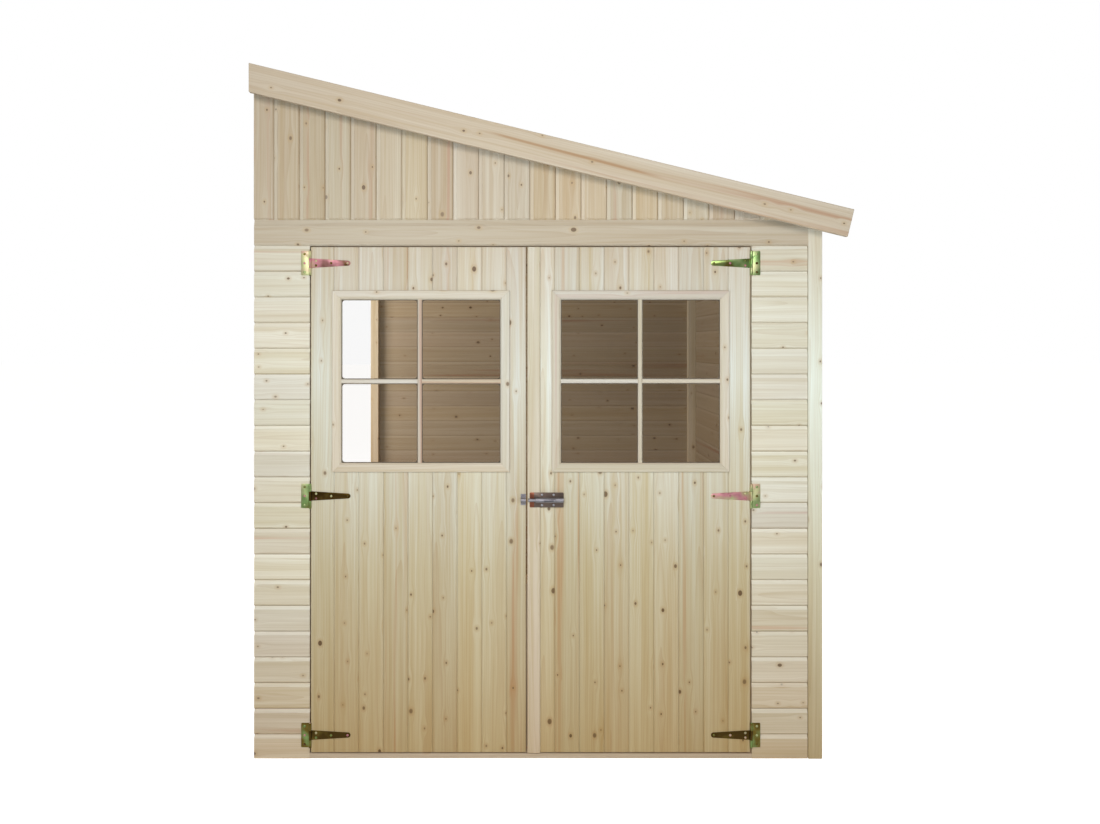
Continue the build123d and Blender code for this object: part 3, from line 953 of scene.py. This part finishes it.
def bead_ring(x_low, x_high, z_low, z_high, face_y):
    """A bead round one light: square outside, rounded inside."""
    corner_steps = 5
    outer, inner = [], []
    corners = (
        (x_low, z_low, 1, 1), (x_high, z_low, -1, 1), (x_high, z_high, -1, -1),
        (x_low, z_high, 1, -1),
    )
    for number, (x, z, to_x, to_z) in enumerate(corners):
        centre_x = x + to_x * (bead_width + bead_corner)
        centre_z = z + to_z * (bead_width + bead_corner)
        for step in range(corner_steps + 1):
            turn = math.radians(90) * step / corner_steps
            if number % 2:
                turn = math.radians(90) - turn
            inner.append((
                centre_x - to_x * bead_corner * math.cos(turn),
                centre_z - to_z * bead_corner * math.sin(turn),
            ))
            outer.append((x, z))
    bm = bmesh.new()
    front_y = face_y - bead_thickness
    loops = [
        [bm.verts.new((x, y, z)) for x, z in loop]
        for loop, y in ((outer, face_y), (outer, front_y), (inner, front_y), (inner, face_y))
    ]
    skin(bm, [*loops, loops[0]])
    bmesh.ops.remove_doubles(bm, verts=bm.verts[:], dist=1e-6)
    bmesh.ops.recalc_face_normals(bm, faces=bm.faces[:])
    return bm


# %% [markdown]
# Each window has a casing of four mitred strips on the boards, and a clear pane behind it. The
# four strips are separate, so their grain turns the corner as it does in a real mitred frame.

# %% Window casings
casing_width = 31 * MM
casing_bevel = 5 * MM
mitre_gap = 0.25 * MM


def glass_opening(side):
    """Two opposite corners of the glass that shows inside a casing."""
    low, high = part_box(f"{side}_window_casing")
    rim = Vector((casing_width, 0, casing_width))
    return low + rim, high - rim


def casing_strips(side):
    """The four mitred strips round a window."""
    low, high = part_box(f"{side}_window_casing")
    glass_low, glass_high = glass_opening(side)
    thickness = high.y - low.y
    centre = (low + high) / 2
    wall_centre = Vector((centre.x, high.y, centre.z))
    strip_section = [
        (0, 0),
        (0, thickness - casing_bevel),
        (casing_bevel, thickness - 0.4 * MM),
        (casing_bevel + 1.5 * MM, thickness),
        (casing_width - 2.5 * MM, thickness),
        (casing_width - 0.6 * MM, thickness - 0.8 * MM),
        (casing_width, thickness - 2.5 * MM),
        (casing_width, 0),
    ]
    strips = []
    for away, along in ((UP, RIGHT), (-UP, RIGHT), (RIGHT, UP), (-RIGHT, UP)):
        half_span = abs((high - low).dot(along)) / 2
        inner_edge = wall_centre + away * abs((glass_high - glass_low).dot(away)) / 2
        start = inner_edge - along * half_span
        bm = prism(strip_section, start, along, away, FRONT, half_span * 2)
        mitre_reach = half_span - casing_width - mitre_gap
        for end in (1, -1):
            saw(bm, inner_edge + along * end * mitre_reach, (along * end - away).normalized())
        strips.append((bm, start + away * casing_width / 2, along, away, FRONT))
    return strips


# %% [markdown]
# The bars lie on both faces of the pane, at places that come from the photograph. The upright bar
# runs through, and the level ones are cut to fit beside it. The dark beads lie on the pane's face.

# %% Casings, bars and dark beads in place
bar_width = 14.5 * MM
bar_front_depth = 7 * MM
bar_back_depth = 6 * MM
bars_px = {"left": (419.9, 381.3), "right": (640, 381)}
half_bar = bar_width / 2
for side in ("left", "right"):
    body = f"{side}_door"
    make_piece(
        f"{side}_casing_strips", casing_strips(side), trim_spruce, body, "trim",
        f"{side}_window_casing",
    )
    glass_low, glass_high = glass_opening(side)
    pane_low, pane_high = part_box(f"{side}_window_pane")
    bar_x_px, bar_z_px = bars_px[side]
    bar_x, bar_z = photo_x(bar_x_px), photo_z(bar_z_px)
    sides_of_bar = ((glass_low.x, bar_x - half_bar), (bar_x + half_bar, glass_high.x))
    bars = []
    for face_y, out, bar_depth in (
        (pane_low.y, FRONT, bar_front_depth),
        (pane_high.y, BACK, bar_back_depth),
    ):
        half_section = [
            (half_bar * 0.55, bar_depth), (half_bar, bar_depth * 0.55), (half_bar, 0),
        ]
        bar_section = [(-a, o) for a, o in reversed(half_section)] + half_section
        foot = Vector((bar_x, face_y, glass_low.z))
        tall = prism(bar_section, foot, UP, RIGHT, out, glass_high.z - glass_low.z)
        bars.append((tall, foot, UP, RIGHT, out))
        for x_start, x_end in sides_of_bar:
            start = Vector((x_start, face_y, bar_z))
            short = prism(bar_section, start, RIGHT, UP, out, x_end - x_start)
            bars.append((short, start, RIGHT, UP, out))
    make_piece(f"{side}_glazing_bars", bars, trim_spruce, body, "trim")

    beads = []
    for x_low, x_high in sides_of_bar:
        for z_low, z_high in ((glass_low.z, bar_z - half_bar), (bar_z + half_bar, glass_high.z)):
            ring = bead_ring(x_low, x_high, z_low, z_high, pane_low.y)
            beads.append((ring, Vector((x_low, pane_low.y, z_low)), RIGHT, UP, FRONT))
    make_piece(f"{side}_glazing_seals", beads, bead_material, body, "trim")

# %% [markdown]
# The panes are clear sheet glass. It is nearly invisible from the front, and what gives it away
# is the faint reflection, which grows towards a grazing view. A pane this thin bends light too
# little to be seen, so it is made as a mirror that lets nearly all light through: its cover is the
# share that glass reflects. Real refraction would cost more and hide the white floor behind it.
# The solid already has the right shape, so only its material is new.

# %% Clear sheet glass
HEAD_ON_REFLECTION = 0.04
glass, glass_tree, glass_shader = new_material("clear_sheet_glass")
ripple = add_node(glass_tree, "TexNoise", Scale=4, Detail=1)
ripple_bump = add_node(glass_tree, "Bump", Height=ripple, Strength=0.03)
slant = add_node(glass_tree, "LayerWeight", Normal=ripple_bump).outputs["Facing"]
grazing = add_node(glass_tree, "Math", slant, 5, operation="POWER")
reflected = add_node(
    glass_tree, "Math", grazing, 1 - HEAD_ON_REFLECTION, HEAD_ON_REFLECTION,
    operation="MULTIPLY_ADD",
)
feed(glass_tree, glass_shader, {
    "Base Color": colour("#FBFCFB"), "Metallic": 1, "Roughness": 0.02, "Normal": ripple_bump,
    "Alpha": reflected,
})
for side in ("left", "right"):
    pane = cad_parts[f"{side}_window_pane"]
    pane.data.materials.clear()
    pane.data.materials.append(glass)
    print(pane.name, "glazed")

# %% [markdown]
# The hinges are stamped from steel and zinc-plated, with a yellow passivation that shimmers from
# olive to green and pink. On the real ones the colour changes from hinge to hinge, so each part
# carries a number of its own and a slow noise moves along a run of those tints. Where the film is
# thick and pale it is also hazier, so it spreads the light and looks brighter.
# The bolt is plain zinc, greyer, and its plate is coloured copper-red at the keeper's end.

# %% Plated steel
def plated_steel(name, tints, tint_scale, roughness, film_haze=0, end_tint=None, end_length=0):
    """Zinc-plated steel: a metal whose film of colour changes slowly over the surface.

    The start of a part may have a tint of its own, fading over two millimetres."""
    material, tree, shader = new_material(name)
    place = add_node(tree, "TexCoord").outputs["Object"]
    board = add_node(tree, "Attribute", attribute_name="board").outputs["Vector"]
    luck = add_node(tree, "SeparateXYZ", board)
    slow = add_node(tree, "TexNoise", Vector=place, Scale=tint_scale, Detail=2)
    spread = add_node(tree, "Math", slow, 0.9, -0.45, operation="MULTIPLY_ADD")
    film = add_node(tree, "Math", spread, luck, operation="ADD", use_clamp=True)
    stops = [(i / (len(tints) - 1), tint) for i, tint in enumerate(tints)]
    tinted = add_node(tree, "ValToRGB", film, stops=stops)
    if end_tint:
        grain = add_node(tree, "Attribute", attribute_name="grain").outputs["Vector"]
        along = add_node(tree, "SeparateXYZ", grain)
        at_end = add_node(tree, "MapRange", along, end_length + 1 * MM, end_length - 1 * MM, 0, 0.7)
        tinted = add_node(tree, "Mix", at_end, tinted, colour(end_tint), data_type="RGBA")
    fine = add_node(tree, "TexNoise", Vector=place, Scale=700, Detail=3)
    dulled = add_node(tree, "MapRange", fine, 0.3, 0.7, *roughness)
    thick_film = add_node(tree, "MapRange", film, 0.3, 0.7, 0, film_haze)
    feed(tree, shader, {
        "Base Color": tinted,
        "Metallic": 1,
        "Roughness": add_node(tree, "Math", dulled, thick_film, operation="ADD"),
        "Normal": add_node(tree, "Bump", Height=fine, Strength=0.1, Distance=0.1 * MM),
    })
    return material


yellow_zinc = plated_steel(
    "yellow_passivated_zinc", ("#5A4622", "#857338", "#9CC47E", "#E2E2B2", "#EDA9B8", "#6B5228"),
    tint_scale=18, roughness=(0.25, 0.4), film_haze=0.25,
)
bright_zinc = plated_steel(
    "bright_zinc_plate", ("#9C9AA4", "#BEBFCA", "#D0D2DA"), tint_scale=30, roughness=(0.42, 0.56),
)
dull_zinc = plated_steel(
    "dull_zinc_plate", ("#5A4A44", "#71625C", "#857871"), tint_scale=40, roughness=(0.35, 0.5),
    end_tint="#A2583C", end_length=15 * MM,
)
print("steel materials made:", [m.name for m in (yellow_zinc, bright_zinc, dull_zinc)])

# %% [markdown]
# Small round metal parts are turned: a profile of radius and height is spun about an axis.
# Flat ones are stamped: an outline with rounded corners gets a thickness and eased edges.

# %% Turned and stamped metal
def arc(radius, start, end, steps, centre=(0, 0)):
    """Points on a circle, from one angle in degrees to another."""
    turns = [math.radians(start + (end - start) * i / steps) for i in range(steps + 1)]
    return [(centre[0] + radius * math.cos(t), centre[1] + radius * math.sin(t)) for t in turns]


def turned(profile, centre, axis, segments=24):
    """A profile of (radius, height) pairs spun about the axis through centre."""
    side_way = axis.orthogonal().normalized()
    other_way = axis.cross(side_way)
    bm = bmesh.new()
    rings = []
    for radius, height in profile:
        ring = []
        for i in range(segments):
            turn = 2 * math.pi * i / segments
            reach = side_way * math.cos(turn) + other_way * math.sin(turn)
            ring.append(bm.verts.new(centre + axis * height + reach * radius))
        rings.append(ring)
    skin(bm, rings)
    bm.faces.new(rings[0])
    bm.faces.new(rings[-1])
    bmesh.ops.recalc_face_normals(bm, faces=bm.faces[:])
    return bm


def rod(centre, axis, radius, length, ease=0.6 * MM, segments=24):
    """A turned rod with eased ends, from centre along the axis."""
    profile = [
        (radius - ease, 0),
        (radius - ease * 0.3, ease * 0.3),
        (radius, ease),
        (radius, length - ease),
        (radius - ease * 0.3, length - ease * 0.3),
        (radius - ease, length),
    ]
    return turned(profile, centre, axis, segments)


def stamped(outline, start, across, up, out, thickness, ease=0.5 * MM):
    """A stamped plate: an outline of (across, up) points given a thickness and eased edges."""
    bm = bmesh.new()
    back_loop = [bm.verts.new(start + across * a + up * b) for a, b in outline]
    face = bm.faces.new(back_loop)
    grown = bmesh.ops.extrude_face_region(bm, geom=[face])
    moved = [g for g in grown["geom"] if isinstance(g, bmesh.types.BMVert)]
    bmesh.ops.translate(bm, verts=moved, vec=out * thickness)
    if not any(f.normal.dot(out) < 0 for f in bm.faces if len(f.verts) == len(outline)):
        bm.faces.new(back_loop)
    bmesh.ops.recalc_face_normals(bm, faces=bm.faces[:])
    rim = [e for e in bm.edges if all(v in moved for v in e.verts)]
    bmesh.ops.bevel(bm, geom=rim, offset=ease, segments=2, profile=0.5, affect="EDGES")
    return bm


# %% [markdown]
# The screws have a domed head with a cross recess. One is made and copied to every place, each
# turned a little differently, as a person driving them would leave them.

# %% Screws
screw_head_radius = 4.2 * MM
screw_head_height = 2.0 * MM
cross_width = 1.1 * MM
cross_span = 4.6 * MM
cross_depth = 1.1 * MM


def screw_head():
    """One domed head at the origin, pointing along +Z, with its cross recess."""
    dome = [
        (max(screw_head_radius * across, 0.2 * MM), screw_head_height * up)
        for across, up in arc(1, 0, 90, 5)
    ]
    head = turned(dome, Vector(), UP, 20)
    for wide, deep in ((cross_span, cross_width), (cross_width, cross_span)):
        low = Vector((-wide / 2, -deep / 2, screw_head_height - cross_depth))
        high = Vector((wide / 2, deep / 2, screw_head_height + cross_depth))
        head = cut_out(head, low, high)
    head_mesh = bpy.data.meshes.new("screw_head")
    head.to_mesh(head_mesh)
    head.free()
    return head_mesh


screw_mesh = screw_head()
print("screw head,", len(screw_mesh.polygons), "faces")
screw_luck = random.Random("screws")


def screws(places, out):
    """A screw head at each place, facing out."""
    parts = []
    to_out = UP.rotation_difference(out).to_matrix().to_4x4()
    for spot in places:
        bm = bmesh.new()
        bm.from_mesh(screw_mesh)
        turn = screw_luck.uniform(0, math.pi / 2)
        for vert in bm.verts:
            x, y, z = vert.co
            spun = Vector((
                x * math.cos(turn) - y * math.sin(turn),
                x * math.sin(turn) + y * math.cos(turn),
                z,
            ))
            vert.co = to_out @ spun + spot
        parts.append((bm, spot, RIGHT, UP, out))
    return parts


# %% [markdown]
# A T-hinge has a fixed leaf with two knuckles, a long tapering strap with the knuckle between
# them, and a pin through all three. The pin stays with the fixed leaf, so the strap turns
# about it with the door.

# %% T-hinges
knuckle_radius = 4.5 * MM
plate_thickness = 2.5 * MM
leaf_width = 31 * MM
neck_gap = 0.2 * MM
leaf_height = 83 * MM
knuckle_gap = 0.5 * MM
strap_root, strap_tip = 32 * MM, 17 * MM
strap_length = 138 * MM
pin_head_radius = 3.4 * MM
pin_overhang = 1.5 * MM
leaf_corner = 3 * MM
leaf_screw_place = 0.62  # share of the leaf's width
leaf_screw_rise = 31 * MM
strap_start = 3.5 * MM
strap_screw_places = ((20 * MM, 8 * MM), (20 * MM, -8 * MM), (72 * MM, 0), (128 * MM, 0))


def hinge_leaf(on_wall, axis_foot, inward, tones):
    """The fixed leaf with its two knuckles, the pin's heads and three screws."""
    neck = knuckle_radius + neck_gap
    notch = strap_root / 2 + knuckle_gap
    lower_half = [
        (-leaf_width, -leaf_height / 2), (0, -leaf_height / 2), (0, -notch), (-neck, -notch),
    ]
    upper_half = [(a, -b) for a, b in reversed(lower_half)]
    outline = eased(lower_half + upper_half, leaf_corner)
    leaf = stamped(outline, on_wall, inward, UP, FRONT, plate_thickness)
    parts = [(leaf, on_wall, RIGHT, UP, FRONT, tones)]
    for foot in (-leaf_height / 2, notch):
        knuckle = rod(axis_foot + UP * foot, UP, knuckle_radius, leaf_height / 2 - notch)
        parts.append((knuckle, axis_foot, RIGHT, UP, FRONT, tones))
    head_profile = [
        (pin_head_radius, 0),
        (pin_head_radius * 0.9, pin_overhang * 0.6),
        (pin_head_radius * 0.5, pin_overhang),
    ]
    for end in (1, -1):
        pin_end = axis_foot + UP * end * leaf_height / 2
        pin_head = turned(head_profile, pin_end, UP * end, 16)
        parts.append((pin_head, axis_foot, RIGHT, UP, FRONT))
    places = [
        on_wall - inward * leaf_width * leaf_screw_place + FRONT * plate_thickness + UP * rise
        for rise in (-leaf_screw_rise, 0, leaf_screw_rise)
    ]
    return parts + screws(places, FRONT)


def hinge_strap(on_wall, axis_foot, inward, tones):
    """The tapering strap with its knuckle and four screws."""
    tip_radius = strap_tip / 2
    outline = [
        (strap_start, -strap_root / 2),
        *arc(tip_radius, -90, 90, 8, (strap_length - tip_radius, 0)),
        (strap_start, strap_root / 2),
    ]
    strap = stamped(outline, on_wall, inward, UP, FRONT, plate_thickness)
    knuckle = rod(axis_foot - UP * strap_root / 2, UP, knuckle_radius, strap_root)
    parts = [
        (strap, on_wall, RIGHT, UP, FRONT, tones),
        (knuckle, axis_foot, RIGHT, UP, FRONT, tones),
    ]
    places = [
        on_wall + inward * reach + FRONT * plate_thickness + UP * rise
        for reach, rise in strap_screw_places
    ]
    return parts + screws(places, FRONT)


# %% [markdown]
# Each door has three hinges. The outer two are level with the ledges behind them, and the middle
# one's height comes from the photograph, as do the tints.

# %% T-hinges in place
low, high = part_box("left_door_ledges")
ledge_half = 35 * MM
middle_hinge_drop = 114 * MM
glass_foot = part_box("left_window_casing")[0].z + casing_width
hinge_heights = (low.z + ledge_half, glass_foot - middle_hinge_drop, high.z - ledge_half)
DARK, OLIVE, GREEN, CREAM, PINK = 0.0, 0.2, 0.4, 0.6, 0.8  # places on the run of tints
hinge_tints = {  # of strap and leaf, from the lowest hinge up
    "left": ((DARK, OLIVE), (DARK, GREEN), (PINK, CREAM)),
    "right": ((DARK, OLIVE), (0.7, CREAM), (0.3, GREEN)),
}
hinge_axis_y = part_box("hinge_leaves")[0].y + knuckle_radius
print("hinges at heights", [round(height, 3) for height in hinge_heights])
leaf_parts = []
for side, sign in (("left", 1), ("right", -1)):
    box_low, box_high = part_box(f"{side}_hinge_straps")
    axis_x = box_low.x + knuckle_radius if sign > 0 else box_high.x - knuckle_radius
    strap_parts = []
    for height, (strap_tint, leaf_tint) in zip(hinge_heights, hinge_tints[side]):
        on_wall = Vector((axis_x, wall_face_y, height))
        axis_foot = Vector((axis_x, hinge_axis_y, height))
        place = (on_wall, axis_foot, RIGHT * sign)
        leaf_parts += hinge_leaf(*place, (leaf_tint, 0.5, 0.5))
        strap_parts += hinge_strap(*place, (strap_tint, 0.5, 0.5))
    make_piece(
        f"{side}_strap_hinges", strap_parts, yellow_zinc, f"{side}_door", "hinge_steel",
        f"{side}_hinge_straps", smooth=True,
    )
make_piece(
    "hinge_wall_leaves", leaf_parts, yellow_zinc, "shed", "hinge_steel", "hinge_leaves",
    smooth=True,
)

# %% [markdown]
# The barrel bolt lies across the meeting of the leaves: a plate with a barrel on the right leaf,
# a rod with a knob that slides in it, and a keeper on the left leaf that catches the rod.

# %% The bolt's sizes and plate
rod_low, rod_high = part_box("bolt_rod")
plate_low, plate_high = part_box("bolt_barrel")
rod_radius = 6 * MM
barrel_radius = 8.5 * MM
bore_radius = 6.4 * MM
bolt_plate_thickness = 2 * MM
barrel_inset = 20 * MM
bolt_z = (plate_low.z + plate_high.z) / 2
rod_axis_y = plate_low.y + barrel_radius
half_plate = (plate_high.z - plate_low.z) / 2
plate_length = plate_high.x - plate_low.x
barrel_start = Vector((plate_low.x + barrel_inset, rod_axis_y, bolt_z))
barrel_length = plate_high.x - barrel_start.x
throw = 30 * MM
knob_radius = 3.5 * MM
knob_x = barrel_start.x + 64 * MM
slot_half = knob_radius + 0.4 * MM
plate_corner = 4 * MM
plate_screws_along = (22 * MM, 62 * MM)
plate_screw_rise = 17.5 * MM
tube_ease = 0.5 * MM

plate_outline = eased([
    (0, -half_plate), (plate_length, -half_plate), (plate_length, half_plate), (0, half_plate),
], plate_corner, 4)
plate_start = Vector((plate_low.x, plate_high.y, bolt_z))
plate = stamped(plate_outline, plate_start, RIGHT, UP, FRONT, bolt_plate_thickness, 0.4 * MM)
make_piece(
    "bolt_plate", [(plate, plate_start, RIGHT, UP, FRONT)], dull_zinc, "right_door", "bolt_steel",
    smooth=True,
)

# %% [markdown]
# The barrel is a tube with a long slot for the knob, which is cut with a boolean. It sits on its
# plate with two screws above and two below.

# %% The bolt's barrel
tube_profile = [
    (bore_radius, 0),
    (barrel_radius - tube_ease, 0),
    (barrel_radius, tube_ease),
    (barrel_radius, barrel_length - tube_ease),
    (barrel_radius - tube_ease, barrel_length),
    (bore_radius, barrel_length),
]


def tube(profile, centre, axis, segments=40):
    """A turned part that is hollow: the profile closes on itself."""
    bm = turned(profile, centre, axis, segments)
    ends = [f for f in bm.faces if len(f.verts) == segments]
    bmesh.ops.delete(bm, geom=ends, context="FACES_ONLY")
    rims = [e for e in bm.edges if e.is_boundary]
    bmesh.ops.bridge_loops(bm, edges=rims)
    bmesh.ops.recalc_face_normals(bm, faces=bm.faces[:])
    return bm


barrel = tube(tube_profile, barrel_start, RIGHT)
slot_low = Vector((knob_x - throw - slot_half, rod_axis_y - barrel_radius * 2, bolt_z - slot_half))
slot_high = Vector((knob_x + slot_half, rod_axis_y, bolt_z + slot_half))
barrel = cut_out(barrel, slot_low, slot_high)
make_piece(
    "bolt_barrel_tube", [(barrel, barrel_start, RIGHT, UP, FRONT)], bright_zinc, "right_door",
    "bolt_steel", "bolt_barrel", smooth=True,
)
plate_screws = [
    Vector((x, plate_high.y - bolt_plate_thickness, bolt_z + rise))
    for x in (barrel_start.x + reach for reach in plate_screws_along)
    for rise in (-plate_screw_rise, plate_screw_rise)
]
make_piece(
    "bolt_screws", screws(plate_screws, FRONT), bright_zinc, "right_door", "bolt_steel",
    smooth=True,
)

# %% [markdown]
# The rod is a plain turned one, and the knob that moves it is turned too, with a neck.

# %% The bolt's rod and knob
rod_length = rod_high.x - rod_low.x
rod_parts = [(
    rod(Vector((rod_low.x, rod_axis_y, bolt_z)), RIGHT, rod_radius, rod_length, 1.2 * MM, 32),
    rod_low, RIGHT, UP, FRONT,
)]
knob_height = rod_axis_y - rod_low.y
knob_profile = [
    (knob_radius * 0.8, 0),
    (knob_radius * 0.8, knob_height - 4.5 * MM),
    (knob_radius, knob_height - 3.8 * MM),
    (knob_radius, knob_height - 1.2 * MM),
    (knob_radius * 0.8, knob_height - 0.3 * MM),
    (knob_radius * 0.4, knob_height),
]
knob_foot = Vector((knob_x, rod_axis_y, bolt_z))
rod_parts.append((turned(knob_profile, knob_foot, FRONT, 24), knob_foot, RIGHT, UP, FRONT))
make_piece(
    "bolt_rod_and_knob", rod_parts, bright_zinc, "bolt", "bolt_steel", "bolt_rod", smooth=True,
)

# %% [markdown]
# The keeper is a strip bent to a loop with two feet. The rod passes through the loop, so its
# outline is seen along the rod, and it is as wide as the strip.

# %% The bolt's keeper
keeper_low, keeper_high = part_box("bolt_keeper")
keeper_width = keeper_high.x - keeper_low.x
loop_outer = rod_axis_y - keeper_low.y
keeper_thickness = 2 * MM
loop_inner = loop_outer - keeper_thickness
foot_reach = (keeper_high.z - keeper_low.z) / 2
out_to_axis = keeper_high.y - rod_axis_y
keeper_outline = [
    (-foot_reach, 0),
    (-foot_reach, keeper_thickness),
    (-loop_outer, keeper_thickness),
    *arc(loop_outer, 180, 0, 12, (0, out_to_axis)),
    (loop_outer, keeper_thickness),
    (foot_reach, keeper_thickness),
    (foot_reach, 0),
    (loop_inner, 0),
    *arc(loop_inner, 0, 180, 12, (0, out_to_axis)),
    (-loop_inner, 0),
]
keeper_start = Vector((keeper_low.x, keeper_high.y, bolt_z))
keeper = prism(keeper_outline, keeper_start, RIGHT, UP, FRONT, keeper_width)
make_piece(
    "bolt_keeper_loop", [(keeper, keeper_start, RIGHT, UP, FRONT)], bright_zinc, "left_door",
    "bolt_steel", "bolt_keeper", smooth=True,
)

# %% [markdown]
# A plain studio: a pale floor, a white surround and soft lights. The floor is lit from within
# for the camera only, like a light table, so it stays white and its shadows stay faint, yet it
# throws no extra light up at the shed. The patch inside the walls doesn't glow, or the gap
# between the door leaves would shine.

# %% Floor
FLOOR_GLOW = 0.85
floor_reach = 60
back_face_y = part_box("back_wall")[1].y
patch_inset = 20 * MM
patch_low_x, patch_high_x = house_x + patch_inset, side_x - patch_inset
patch_low_y, patch_high_y = wall_face_y + patch_inset, back_face_y - patch_inset
floor_corners = [
    (x, y, 0)
    for low_x, high_x, low_y, high_y in (
        (-floor_reach, floor_reach, -floor_reach, floor_reach),
        (patch_low_x, patch_high_x, patch_low_y, patch_high_y),
    )
    for x, y in ((low_x, low_y), (high_x, low_y), (high_x, high_y), (low_x, high_y))
]
floor_mesh = bpy.data.meshes.new("studio_floor")
floor_mesh.from_pydata(
    floor_corners, [], [(0, 1, 5, 4), (1, 2, 6, 5), (2, 3, 7, 6), (3, 0, 4, 7), (4, 5, 6, 7)],
)
floor = bpy.data.objects.new("studio_floor", floor_mesh)
bpy.context.scene.collection.objects.link(floor)
floor_material, floor_tree, floor_shader = new_material("pale_studio_floor")
floor_seen = add_node(floor_tree, "LightPath").outputs["Is Camera Ray"]
feed(floor_tree, floor_shader, {
    "Base Color": colour("#F2F2F2"),
    "Roughness": 0.9,
    "Emission Color": colour("#FFFFFF"),
    "Emission Strength": add_node(floor_tree, "Math", floor_seen, FLOOR_GLOW, operation="MULTIPLY"),
})
shaded_material, shaded_tree, shaded_shader = new_material("shaded_studio_floor")
feed(shaded_tree, shaded_shader, {"Base Color": colour("#B8AA94"), "Roughness": 0.9})
floor_mesh.materials.append(floor_material)
floor_mesh.materials.append(shaded_material)
floor_mesh.polygons[-1].material_index = 1
print("floor laid, with a patch of its own inside the walls")

# %% [markdown]
# The surround looks pure white but gives only a fifth of that as light, or it would drown
# the lights. That part is slightly warm, as light is that has bounced off wood, so the inside
# looks warm too.

# %% Surround
SURROUND_LIGHT = 0.2
world = bpy.data.worlds.new("white_surround")
bpy.context.scene.world = world
world.use_nodes = True
world_tree = world.node_tree
seen = add_node(world_tree, "LightPath").outputs["Is Camera Ray"]
feed(world_tree, world_tree.nodes["Background"], {
    "Color": add_node(
        world_tree, "Mix", seen, colour("#FFF6EA"), colour("#FFFFFF"), data_type="RGBA",
    ),
    "Strength": add_node(world_tree, "MapRange", seen, 0, 1, SURROUND_LIGHT, 1),
})

# %% [markdown]
# One light hangs high behind the camera and a little to the left, so it rakes down the wall and
# shows the boards' joints. A cool strip level with the windows makes the wall palest there and
# lets it turn golden towards the ground, as the photograph has it. It isn't mirrored, or it would
# lie across the panes as a white band. One light behind lights the back, and a weak one beside
# the open house side lights the inside.

# %% Lights
def softbox(name, width, height, power, light_colour, place, aim, mirrored=True):
    """A soft rectangular light that faces the point it is aimed at."""
    data = bpy.data.lights.new(name, "AREA")
    data.shape = "RECTANGLE"
    data.size = width
    data.size_y = height
    data.energy = power
    data.color = light_colour
    light = bpy.data.objects.new(name, data)
    light.location = place
    light.rotation_euler = (Vector(aim) - Vector(place)).to_track_quat("-Z", "Y").to_euler()
    light.visible_camera = False
    light.visible_glossy = mirrored
    bpy.context.scene.collection.objects.link(light)


high_light = (-0.6, wall_face_y - 4.4, 2.9)
softbox("high_softbox", 2.2, 1.5, 98, (0.98, 0.97, 0.93), high_light, (0.0, wall_face_y, 1.3))
strip_light = (0.0, wall_face_y - 1.9, 1.32)
strip_aim = (0.0, wall_face_y, 1.32)
softbox("strip_softbox", 2.6, 0.3, 29, (0.74, 0.9, 1.0), strip_light, strip_aim, mirrored=False)
house_side_light = (-1.9, 0.2, 1.5)
softbox("house_side_softbox", 0.8, 1.2, 24, (1.0, 0.94, 0.86), house_side_light, (-0.5, 1.1, 1.3))
back_light = (2.6, back_face_y + 2.6, 2.6)
softbox("back_softbox", 1.6, 1.2, 60, (1.0, 0.98, 0.95), back_light, (0.2, 0.6, 1.2))

bpy.context.scene.view_settings.view_transform = "Standard"
print("lights hung:", [light.name for light in bpy.data.lights])
